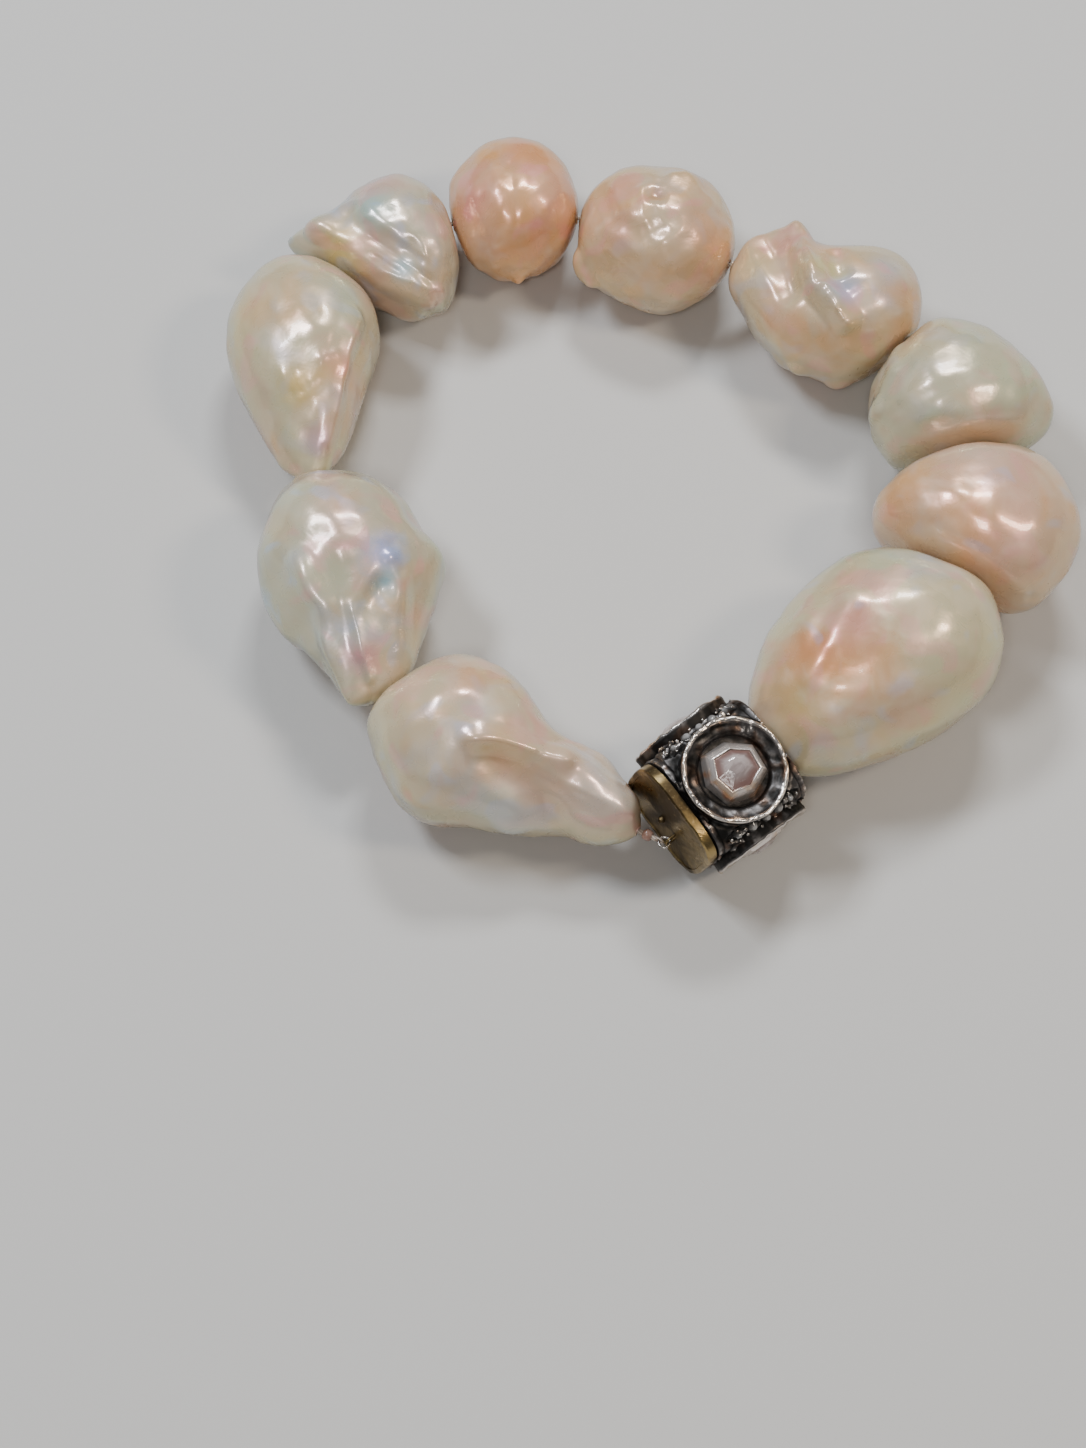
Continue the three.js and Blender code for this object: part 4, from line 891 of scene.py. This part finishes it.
def petalRelief(x, over, px, py, direction, length, half, height):
    angle = math.radians(direction)
    along = (x - px) * math.cos(angle) + (over - py) * math.sin(angle)
    across = -(x - px) * math.sin(angle) + (over - py) * math.cos(angle) - 0.10 * along * along
    share = along / (length / 2)
    width = half * np.sqrt(np.clip(1 - share * share, 0, 1)) + 1e-6
    body = np.clip(1 - (across / width) ** 2, 0, 1) * (np.abs(share) < 1)
    vein = bump(across, 0.16) * 0.5 + 0.3 * (0.5 + 0.5 * np.cos(along * 8.5 + np.abs(across) * 6))
    return height * np.minimum(body * 1.6, 1) * (1 - 0.6 * vein)


def makeBarrel():
    barrel = addDrum("clasp_barrel", clasp["sides"], bodyLength, clasp["rows"])
    points = pointsOf(barrel)
    x = points[:, 0]
    smooth = squared(points, halfAcrossAt(x))
    outward = np.stack([np.zeros(len(x)), smooth[:, 1], smooth[:, 2]], axis=1)
    outward /= np.maximum(np.linalg.norm(outward, axis=1), 1e-9)[:, None]
    over = np.minimum(np.abs(smooth[:, 1]), np.abs(smooth[:, 2]))  # from the middle line of the nearest face
    side = np.where(np.abs(smooth[:, 1]) < np.abs(smooth[:, 2]), smooth[:, 1] * np.sign(smooth[:, 2]),
                    -smooth[:, 2] * np.sign(smooth[:, 1]))
    fromCorner = (halfAcrossAt(x) * carving["cornerShare"] - over) * carving["cornerStretch"]
    fromMiddle = np.hypot(x, over)
    fromEnd = bodyLength / 2 - np.abs(x)
    relief = clasp["hammering"] * (waves(smooth, 2.4, 7) + 0.5 * waves(smooth, 0.9, 8))
    bandHalf = clasp["bandWidth"] / 2 * np.clip(1 - (2 * x / clasp["bandLength"]) ** 2, 0, 1)
    edge = fromCorner - bandHalf
    shown = np.clip(bandHalf / carving["bandFade"], 0, 1)
    inBand = np.clip(-edge / carving["bandEdge"], 0, 1) * shown
    relief += clasp["bandProud"] * inBand
    for at, width, height in carving["bandLines"]:
        relief += height * bump(edge - at, width) * shown
    depth, width = carving["bandHollow"]
    relief -= depth * inBand * bump(fromCorner, width)
    outside = np.clip(edge / carving["petalFade"], 0, 1)
    for end in (-1, 1):
        for px, py, direction, length, half, height, twice in petals:
            turned = direction if end > 0 else 180 - direction
            for way in (1, -1) if twice else (1,):
                relief += outside * petalRelief(x, side, px * end, py * way, turned * way, length, half, height)
    radius, width, depth = carving["ringGroove"]
    relief -= depth * bump(fromMiddle - radius, width)
    relief += clasp["endMoulding"][1] * np.clip((clasp["endMoulding"][0] - fromEnd) / 0.1, 0, 1)
    relief += clasp["endGroove"][2] * bump(fromEnd - clasp["endGroove"][0], clasp["endGroove"][1])
    isCap = (np.abs(np.abs(x) - bodyLength / 2) < 1e-4)
    relief = np.where(isCap, clasp["endMoulding"][1] * carving["capShare"], relief)
    radius, width, depth = carving["well"]
    sink = np.clip((radius - fromMiddle) / width, 0, 1) * depth
    putPoints(barrel, smooth + outward * (relief - sink)[:, None])
    least, grow = carving["wear"]
    paint(barrel, "wear", np.clip(least + relief * grow, 0, 1) * (1 - np.clip(sink, 0, 1)))
    sinkCap(barrel, -1, *carving["tonguePocket"])
    sinkCap(barrel, 1, *carving["cordBore"])
    place(barrel, bodyFrame)
    finishPiece(barrel, oldSilver, "clasp_body", 40)


# one medallion: its rim, dish and moat turned from (radius, height), then hammered by hand; bite is the torn,
# gritty place inside the rim, as (angle, its spread, radius, its spread)
medallion = dict(
    sides=168, turns=(18, 140, 250, 75), lip=(0.35, 4.6), wobbles=[(0.5, 3, 0.6), (0.35, 7, 2.0), (0.3, 13, 1.0)],
    lipRise=0.05, wobble=0.010, hammering=((0.045, 1.9, 21), (0.03, 0.8, 22)), bite=(0.35, 0.42, 4.35, 0.55),
    profile=[
        (4.90, 5.05), (5.12, 5.30), (5.16, 6.35), (5.20, 6.55), (5.19, 6.76), (5.12, 6.90), (5.00, 6.955), (4.90, 6.93),
        (4.80, 6.84), (4.66, 6.66), (4.48, 6.50), (4.24, 6.38), (4.00, 6.31), (3.80, 6.26), (3.66, 6.16),
        (3.56, 5.95), (3.50, 5.72), (3.40, 5.60), (3.20, 5.56),
    ],
)


def turnedPiece(name, profile, sides):  # a ring edge, extruded and drawn in or out from stop to stop
    deselectAll()
    radius, height = profile[0]
    bpy.ops.mesh.primitive_circle_add(vertices=sides, radius=radius, fill_type="NOTHING", location=(0, 0, 0))
    piece = named(name)
    bpy.ops.object.mode_set(mode="EDIT")
    bpy.ops.mesh.select_mode(type="VERT")
    bpy.ops.mesh.select_all(action="SELECT")
    bpy.ops.transform.translate(value=(0, 0, height))
    bpy.ops.mesh.duplicate()
    bpy.ops.mesh.edge_face_add()
    bpy.ops.mesh.select_all(action="DESELECT")
    bpy.ops.object.mode_set(mode="OBJECT")
    for vertex in piece.data.vertices[:sides]:
        vertex.select = True
    for edge in piece.data.edges:
        edge.select = all(piece.data.vertices[index].select for index in edge.vertices)
    bpy.ops.object.mode_set(mode="EDIT")
    for nextRadius, nextHeight in profile[1:]:
        bpy.ops.mesh.extrude_region_move(TRANSFORM_OT_translate={"value": (0, 0, nextHeight - height)})
        grow = nextRadius / radius
        bpy.ops.transform.resize(value=(grow, grow, 1), center_override=(0, 0, 0))
        radius, height = nextRadius, nextHeight
    bpy.ops.mesh.edge_face_add()
    bpy.ops.mesh.select_all(action="SELECT")
    bpy.ops.mesh.remove_doubles(threshold=0.0001)
    bpy.ops.mesh.normals_make_consistent(inside=False)
    closeEdit()
    return piece


def makeRim():
    rim = turnedPiece("medallion_rim_1", medallion["profile"], medallion["sides"])
    points = pointsOf(rim)
    radius = np.hypot(points[:, 0], points[:, 1])
    angle = np.arctan2(points[:, 1], points[:, 0])
    lip = bump(points[:, 2] - string["rimHeight"], medallion["lip"][0]) * (radius > medallion["lip"][1])
    wobble = sum(share * np.sin(angle * lobes + phase) for share, lobes, phase in medallion["wobbles"])
    ring = np.clip((radius - 3.55) / 0.3, 0, 1) * np.clip((6.0 - radius) / 0.3, 0, 1) * (points[:, 2] > 5.6)
    hammered = sum(depth * waves(points, length, seed) for depth, length, seed in medallion["hammering"])
    rise = medallion["lipRise"]
    points[:, 2] += ring * hammered + rise * lip * wobble - rise * lip
    points[:, :2] *= (1 + medallion["wobble"] * ring * wobble)[:, None]
    atAngle, angleSpread, atRadius, radiusSpread = medallion["bite"]
    bite = bump(angle - atAngle, angleSpread) * bump(radius - atRadius, radiusSpread)
    points[:, 2] += bite * 0.09 * waves(points, 0.45, 23)
    putPoints(rim, points)
    paint(rim, "wear", np.clip(0.22 + 0.95 * lip + 0.5 * ring * hammered / 0.06 * 0.3 + 0.3 * bite, 0, 1))
    return rim


# the collet: an uneven seven-sided cone with a thin bright edge round the stone; steps are (inset, rise)
collet = dict(
    base=[3.42, 3.05, 3.46, 3.08, 3.32, 3.10, 3.44],
    shoulder=[3.06, 2.64, 3.14, 2.70, 2.94, 2.66, 3.10],
    heights=(5.45, 6.55, 7.08), mouthInset=0.50, edge=(0.16, 0.05), pocket=(0.05, -0.62), bevel=(0.07, 3, 12),
    uneven=(0.07, 1.5, 31), stained=(0.12, 1.8, 32), stillBelow=5.8, mouthRadius=2.05,
)


def polygonRing(radii, height, turn=0.0):
    count = len(radii)
    angles = [2 * math.pi * index / count + turn for index in range(count)]
    return np.array([(radius * math.cos(a), radius * math.sin(a), height) for radius, a in zip(radii, angles)])


def addPrism(name, lowRing, highRing):  # a block between two rings of points, open for editing with its top picked
    deselectAll()
    bpy.ops.mesh.primitive_cylinder_add(vertices=len(lowRing), radius=1.0, depth=1.0, end_fill_type="NGON")
    piece = named(name)
    points = pointsOf(piece)
    angle = np.round(np.degrees(np.arctan2(points[:, 1], points[:, 0])) % 360, 3)
    points[np.argsort(angle + 1000 * (points[:, 2] > 0))] = np.concatenate([lowRing, highRing])
    putPoints(piece, points)
    pick(piece, "VERT", "polygons", lambda face: face.normal.z > 0.9)
    return piece


def makeCollet():
    low, middle, high = collet["heights"]
    piece = addPrism("collet_1", polygonRing(collet["base"], low), polygonRing(collet["shoulder"], middle))
    for thickness, depth in ((collet["mouthInset"], high - middle), collet["edge"], collet["pocket"]):
        bpy.ops.mesh.inset(thickness=thickness, depth=depth)
    closeEdit()
    soften(piece, *collet["bevel"])
    points = pointsOf(piece)
    radius = np.hypot(points[:, 0], points[:, 1])
    height, length, seed = collet["uneven"]
    points[:, 2] += height * waves(points, length, seed) * (points[:, 2] > collet["stillBelow"])
    putPoints(piece, points)
    top = bump(points[:, 2] - (high + collet["edge"][1]), 0.30)
    share, length, seed = collet["stained"]
    wear = np.clip(0.42 + 0.75 * top + share * waves(points, length, seed), 0, 1)
    paint(piece, "wear", wear * (radius > collet["mouthRadius"]) + 0.1)
    return piece


# a rose-cut stone: uneven girdle, a row of facets and a small table
roseCut = dict(
    radii=[2.26, 1.92, 2.32, 1.96, 2.14, 1.93, 2.28], base=6.62, rim=7.02, crown=0.52, table=0.40, shift=(0.22, 0.15),
)
bandCut = dict(base=-0.5, rim=0.10, crown=0.20, table=0.5, shift=(0.04, 0.02), sunk=0.12, spread=(0.86, 1.06))


def makeRoseCut(name, radii, base, rim, crown, table, shift, turn=0.0):
    piece = addPrism(name, polygonRing(radii, base, turn), polygonRing(radii, rim, turn))
    bpy.ops.mesh.extrude_region_move(TRANSFORM_OT_translate={"value": (*shift, crown)})
    bpy.ops.transform.resize(value=(table, table, 1), center_override=(*shift, rim + crown))
    closeEdit()
    soften(piece, 0.018 * max(radii), 2, 8)
    # side is how far down the crown each point lies, for the painted shade on the side facets
    paint(piece, "side", np.clip((rim + crown - pointsOf(piece)[:, 2]) / crown, 0, 1))
    return piece


# small stones and grains along the corner bands: (x, radius, sides) and (x, over, radius)
bandStones = [(-3.15, 0.40, 6), (-1.55, 0.55, 7), (0.10, 0.50, 6), (1.60, 0.58, 7), (3.10, 0.42, 6)]
bandGrains = [
    (-3.95, 0.0, 0.17), (-2.40, 0.36, 0.18), (-2.30, -0.36, 0.16), (-0.75, 0.52, 0.19), (-0.70, -0.50, 0.18),
    (0.88, 0.52, 0.18), (0.85, -0.52, 0.19), (2.40, 0.40, 0.17), (2.36, -0.40, 0.17), (3.95, 0.0, 0.18),
    (-1.55, 0.82, 0.14), (-1.50, -0.82, 0.14), (0.10, 0.78, 0.14), (0.12, -0.80, 0.14), (1.62, 0.84, 0.14),
    (1.60, -0.84, 0.14), (-3.15, 0.62, 0.12), (-3.15, -0.62, 0.12), (3.10, 0.64, 0.12), (3.12, -0.62, 0.12),
]


def cornerHeightAt(x):
    return float(halfAcrossAt(np.array([x]))[0]) * 2 ** (0.5 - 1 / clasp["cornerPower"]) + clasp["bandProud"]


def makeBand():
    gems, grains = [], []
    cut = {name: bandCut[name] for name in ("base", "rim", "crown", "table", "shift")}
    for index, (x, radius, sides) in enumerate(bandStones):
        source = np.random.default_rng(100 + index)
        radii = [radius * source.uniform(*bandCut["spread"]) for _ in range(sides)]
        gem = makeRoseCut("gem_%d" % index, radii, turn=source.uniform(0, 1), **cut)
        place(gem, Matrix.Translation((x, 0, cornerHeightAt(x) - bandCut["sunk"])))
        gems.append(gem)
    for index, (x, over, radius) in enumerate(bandGrains):
        deselectAll()
        bpy.ops.mesh.primitive_ico_sphere_add(subdivisions=3, radius=radius)
        grain = named("grain_%d" % index)
        points = pointsOf(grain)
        points[:, 2] *= 0.85
        points += 0.02 * waves(points, 0.35, 200 + index)[:, None] * points / radius
        putPoints(grain, points)
        drop = over * over / 6.5
        place(grain, Matrix.Translation((x, over, cornerHeightAt(x) + 0.03 - drop)))
        grains.append(grain)
    return joinAll(gems, "band_stones"), joinAll(grains, "band_grains")


def makeMedallions():
    rim, setting, gem = makeRim(), makeCollet(), makeRoseCut("rose_cut_1", **roseCut)
    bandGem, bandGrain = makeBand()
    paint(bandGrain, "wear", np.full(len(bandGrain.data.vertices), 0.75))
    gemBands, grainBands = [], []
    for quarter in range(4):
        frameHere = bodyFrame @ quarterTurn(quarter)
        spun = Matrix.Rotation(math.radians(medallion["turns"][quarter]), 4, "Z")
        for original, name, slot, material, node, smoothAngle in (
                (rim, "medallion_rim_%d", "silver", oldSilver, None, 60),
                (setting, "collet_%d", "silver", paleSilver, None, 24),
                (gem, "rose_cut_%d", "stone", paleStone, "centre_stone_%d", 3)):
            piece = copyOf(original, "new_" + name % (quarter + 1))
            place(piece, frameHere @ spun)
            piece.name = piece.data.name = "clasp_" + name % (quarter + 1)
            finishPiece(piece, material, node and node % (quarter + 1), smoothAngle)
        cornerFrame = bodyFrame @ quarterTurn(quarter + 0.5)
        for original, found in ((bandGem, gemBands), (bandGrain, grainBands)):
            twin = copyOf(original, original.name + "_copy_%d" % quarter)
            place(twin, cornerFrame)
            found.append(twin)
    for original in (rim, setting, gem, bandGem, bandGrain):
        bpy.data.objects.remove(original)
    finishPiece(joinAll(gemBands, "clasp_band_stones"), bandStone, None, 3)
    finishPiece(joinAll(grainBands, "clasp_band_grains"), oldSilver, None, 60)


# the gold end plate, its tongue, the staple and the ball of solder; steps are (share of the size, depth)
plate = dict(
    sides=144, across=11.4, tongue=(4.0, 4.4, 1.8), tongueBevel=(0.3, 4, 30), tongueRoot=0.5, frontProud=0.08,
    uneven=(0.02, 2.0, 51), faceDepth=0.3,
    steps=[
        (0.985, -0.10), (0.99, -0.05), (0.925, 0.0), (0.99, 0.10), (0.93, 0.03), (0.8, 0.02), (0.6, 0.01), (0.4, 0.0),
    ],
)
staple = dict(offsetOut=1.0, offsetDown=1.8, standOff=0.96, halfWidth=0.5, wireRadius=0.13)
solder = dict(radius=0.4, offsetIn=0.9, offsetDown=0.9)


def wirePiece(name, points, radius):
    data = bpy.data.curves.new(name, "CURVE")
    data.dimensions = "3D"
    data.bevel_depth = radius
    data.bevel_resolution = 5
    data.use_fill_caps = True
    line = data.splines.new("POLY")
    line.points.add(len(points) - 1)
    for point, target in zip(line.points, points):
        point.co = (*target, 1.0)
    wire = linked(name, data)
    activate(wire)
    bpy.ops.object.convert(target="MESH")
    return named(name)


def makePlate():
    gap, thick = string["gap"] / 2, clasp["plateThickness"]
    disc = addDrum("end_plate", plate["sides"], thick, 1)
    points = squared(pointsOf(disc), plate["across"] / 2)
    points[:, 0] += gap + thick / 2 + plate["frontProud"]
    points[:, 0] = np.minimum(points[:, 0], gap + thick)
    putPoints(disc, points)
    pick(disc, "FACE", "polygons", lambda face: face.normal.x < -0.9)
    for share, depth in plate["steps"]:
        bpy.ops.mesh.extrude_region_move(TRANSFORM_OT_translate={"value": (depth, 0, 0)})
        bpy.ops.transform.resize(value=(1, share, share), center_override=(0, 0, 0))
    closeEdit()
    points = pointsOf(disc)
    height, length, seed = plate["uneven"]
    points[:, 0] += height * waves(points, length, seed) * (points[:, 0] < gap + plate["faceDepth"])
    putPoints(disc, points)
    place(disc, rolledFrame)
    length, width, height = plate["tongue"]
    deselectAll()
    bpy.ops.mesh.primitive_cube_add(size=1.0)
    blade = named("tongue")
    blade.data.transform(Matrix.Translation((gap + thick + length / 2, 0, 0))
                         @ Matrix.Diagonal((length + plate["tongueRoot"], width, height, 1)))
    soften(blade, *plate["tongueBevel"])
    place(blade, rolledFrame)
    inPlate = gap + thick / 2
    bar = []
    for step in range(13):
        angle = math.pi / 2 + step * math.pi / 12
        bar.append((gap - staple["standOff"] + staple["halfWidth"] * (1 + math.cos(angle)),
                    staple["halfWidth"] * math.sin(angle)))
    corners = [(inPlate, staple["halfWidth"])] + bar + [(inPlate, -staple["halfWidth"])]
    loop = wirePiece("staple", [(x, -staple["offsetOut"], z - staple["offsetDown"]) for x, z in corners],
                     staple["wireRadius"])
    place(loop, claspFrame)
    deselectAll()
    bpy.ops.mesh.primitive_ico_sphere_add(subdivisions=4, radius=solder["radius"])
    ball = named("solder")
    points = pointsOf(ball)
    points *= (1 + 0.06 * waves(points, 0.6, 52))[:, None]
    putPoints(ball, points + np.array([gap, solder["offsetIn"], -solder["offsetDown"]]))
    place(ball, claspFrame)
    finishPiece(joinAll([disc, blade, loop, ball], "clasp_end_plate"), oldGold, "clasp_plate", 35)


# the links: a jump ring through the staple, a loop of the thread through the ring, and a drop over the knot
links = dict(
    clearance=0.13, ringRadius=0.56, ringWire=0.12, loopRadius=0.36, loopWire=0.11, knotRadius=0.6, knotRim=0.3806,
    knotHole=0.37, cordInBore=3.25,
)


def makeLinks():
    bar = Vector((string["gap"] / 2 - staple["standOff"], -staple["offsetOut"], -staple["offsetDown"]))
    bar = (claspFrame @ bar) / mm
    threadEnd = route[-2]
    line = (bar - threadEnd).normalized()
    across = Vector((-line.y, line.x, 0)).normalized()
    above = line.cross(across)
    basis = Matrix((line, across, above)).transposed().to_4x4()

    def ring(name, radius, wire, distance, upright):
        deselectAll()
        bpy.ops.mesh.primitive_torus_add(major_radius=radius, minor_radius=wire, major_segments=48, minor_segments=16)
        piece = named(name)
        turned = Matrix.Rotation(math.pi / 2, 4, "X") if upright else Matrix.Identity(4)
        centre = Matrix.Translation(bar - line * distance)
        points = pointsOf(piece)
        points += 0.012 * waves(points, 0.7, 61)[:, None] * points / radius
        putPoints(piece, points)
        place(piece, Matrix.Scale(mm, 4) @ centre @ basis @ turned)
        return piece

    ringDistance = links["ringRadius"] - staple["wireRadius"] - links["clearance"] - links["ringWire"]
    loopDistance = staple["wireRadius"] + links["clearance"] + links["loopWire"] + links["loopRadius"]
    jumpRing = ring("clasp_jump_ring", links["ringRadius"], links["ringWire"], ringDistance, False)
    paint(jumpRing, "wear", np.full(len(jumpRing.data.vertices), 0.7))
    finishPiece(jumpRing, oldSilver, "jump_ring")
    threadLoop = ring("thread_loop", links["loopRadius"], links["loopWire"], loopDistance, True)
    claspLine = (claspStart - claspEnd).normalized()
    loopEnd = bar - line * (loopDistance + links["loopRadius"])
    stops = [claspEnd + claspLine * links["cordInBore"]] + route[:-1] + [loopEnd]
    cord = wirePiece("cord", [stop * mm for stop in stops], string["threadRadius"] * mm)
    finishPiece(joinAll([cord, threadLoop], "bead_thread"), silkThread, "thread")
    deselectAll()
    bpy.ops.mesh.primitive_uv_sphere_add(segments=48, ring_count=32, radius=links["knotRadius"])
    knot = named("knot_drop")
    points = pointsOf(knot)
    fromAxis = np.hypot(points[:, 0], points[:, 1])
    rim = np.abs(fromAxis - links["knotRim"]) < 0.01
    points[:, 2] *= 1.0 + 0.10 * np.sin(points[:, 2] * 2)
    points *= (1 + 0.03 * waves(points, 0.9, 71))[:, None]
    points[rim, :2] *= links["knotHole"] / np.hypot(points[rim, 0], points[rim, 1])[:, None]
    putPoints(knot, points)
    bridgeOpenings(knot, fromAxis < links["knotRim"] - 0.01)
    place(knot, Matrix.Scale(mm, 4) @ Matrix.Translation(threadEnd + line * (string["gap"] / 2 + links["knotRadius"]))
          @ line.to_track_quat("Z", "Y").to_matrix().to_4x4())
    finishPiece(knot, amberDrop, "thread_knot", 50)


makeBarrel()
makeMedallions()
print("clasp barrel, medallions and stones set")
makePlate()
makeLinks()
print("end plate, links and thread made")


# floor, light and camera; lamps are (name, place in metres, size, power, colour)
studio = dict(
    floorColour=(0.55, 0.54, 0.52), fleck=(0.60, 0.59, 0.57), floorSize=1.2, worldColour=(0.84, 0.86, 0.92),
    worldStrength=0.16,
    lamps=[
        ("window_left", (-0.30, 0.14, 0.50), (0.16, 0.10), 2.3, (0.86, 0.92, 1.0)),
        ("window_back", (0.06, 0.36, 0.50), (0.16, 0.09), 2.2, (0.93, 0.96, 1.0)),
        ("lamp_warm", (0.34, -0.05, 0.42), (0.09, 0.09), 1.0, (1.0, 0.86, 0.70)),
        ("lamp_front", (-0.06, -0.30, 0.52), (0.10, 0.08), 0.8, (1.0, 0.96, 0.92)),
    ],
)


def makeFloor():
    deselectAll()
    bpy.ops.mesh.primitive_plane_add(size=studio["floorSize"], location=(0, 0, 0))
    floor = named("floor")
    material, shader, place = newMaterial("floor_paper", studio["floorColour"])
    grain = noise(place, 900.0, 2.0)
    feed(grain.ramp(0.3, 0.7, 0.0, 0.05).blend(studio["floorColour"], studio["fleck"]), shader, "Base Color")
    setShader(shader, Roughness=0.75)
    floor.data.materials.append(material)


def makeLight(name, place, size, power, colour):
    data = bpy.data.lights.new(name, "AREA")
    data.shape = "RECTANGLE"
    data.size, data.size_y = size
    data.energy = power
    data.color = colour
    lamp = linked(name, data)
    lamp.location = place
    lamp.rotation_euler = Vector(place).to_track_quat("Z", "Y").to_euler()


def makeCamera():
    data = bpy.data.cameras.new("camera")
    data.lens = camera["lens"]
    data.sensor_width = camera["sensor"]
    data.clip_start = camera["near"]
    eye = linked("camera", data)
    lift = math.radians(camera["elevation"])
    target = Vector(camera["lookAt"]) * mm
    eye.location = target + Vector((0, -math.cos(lift), math.sin(lift))) * camera["distance"] * mm
    eye.rotation_euler = (math.pi / 2 - lift, 0, 0)
    bpy.context.scene.camera = eye


makeFloor()
for lamp in studio["lamps"]:
    makeLight(*lamp)
makeCamera()
world = bpy.data.worlds.new("studio")
world.use_nodes = True
background = world.node_tree.nodes["Background"]
background.inputs["Color"].default_value = (*studio["worldColour"], 1.0)
background.inputs["Strength"].default_value = studio["worldStrength"]
bpy.context.scene.world = world
print("floor, lights and camera set")
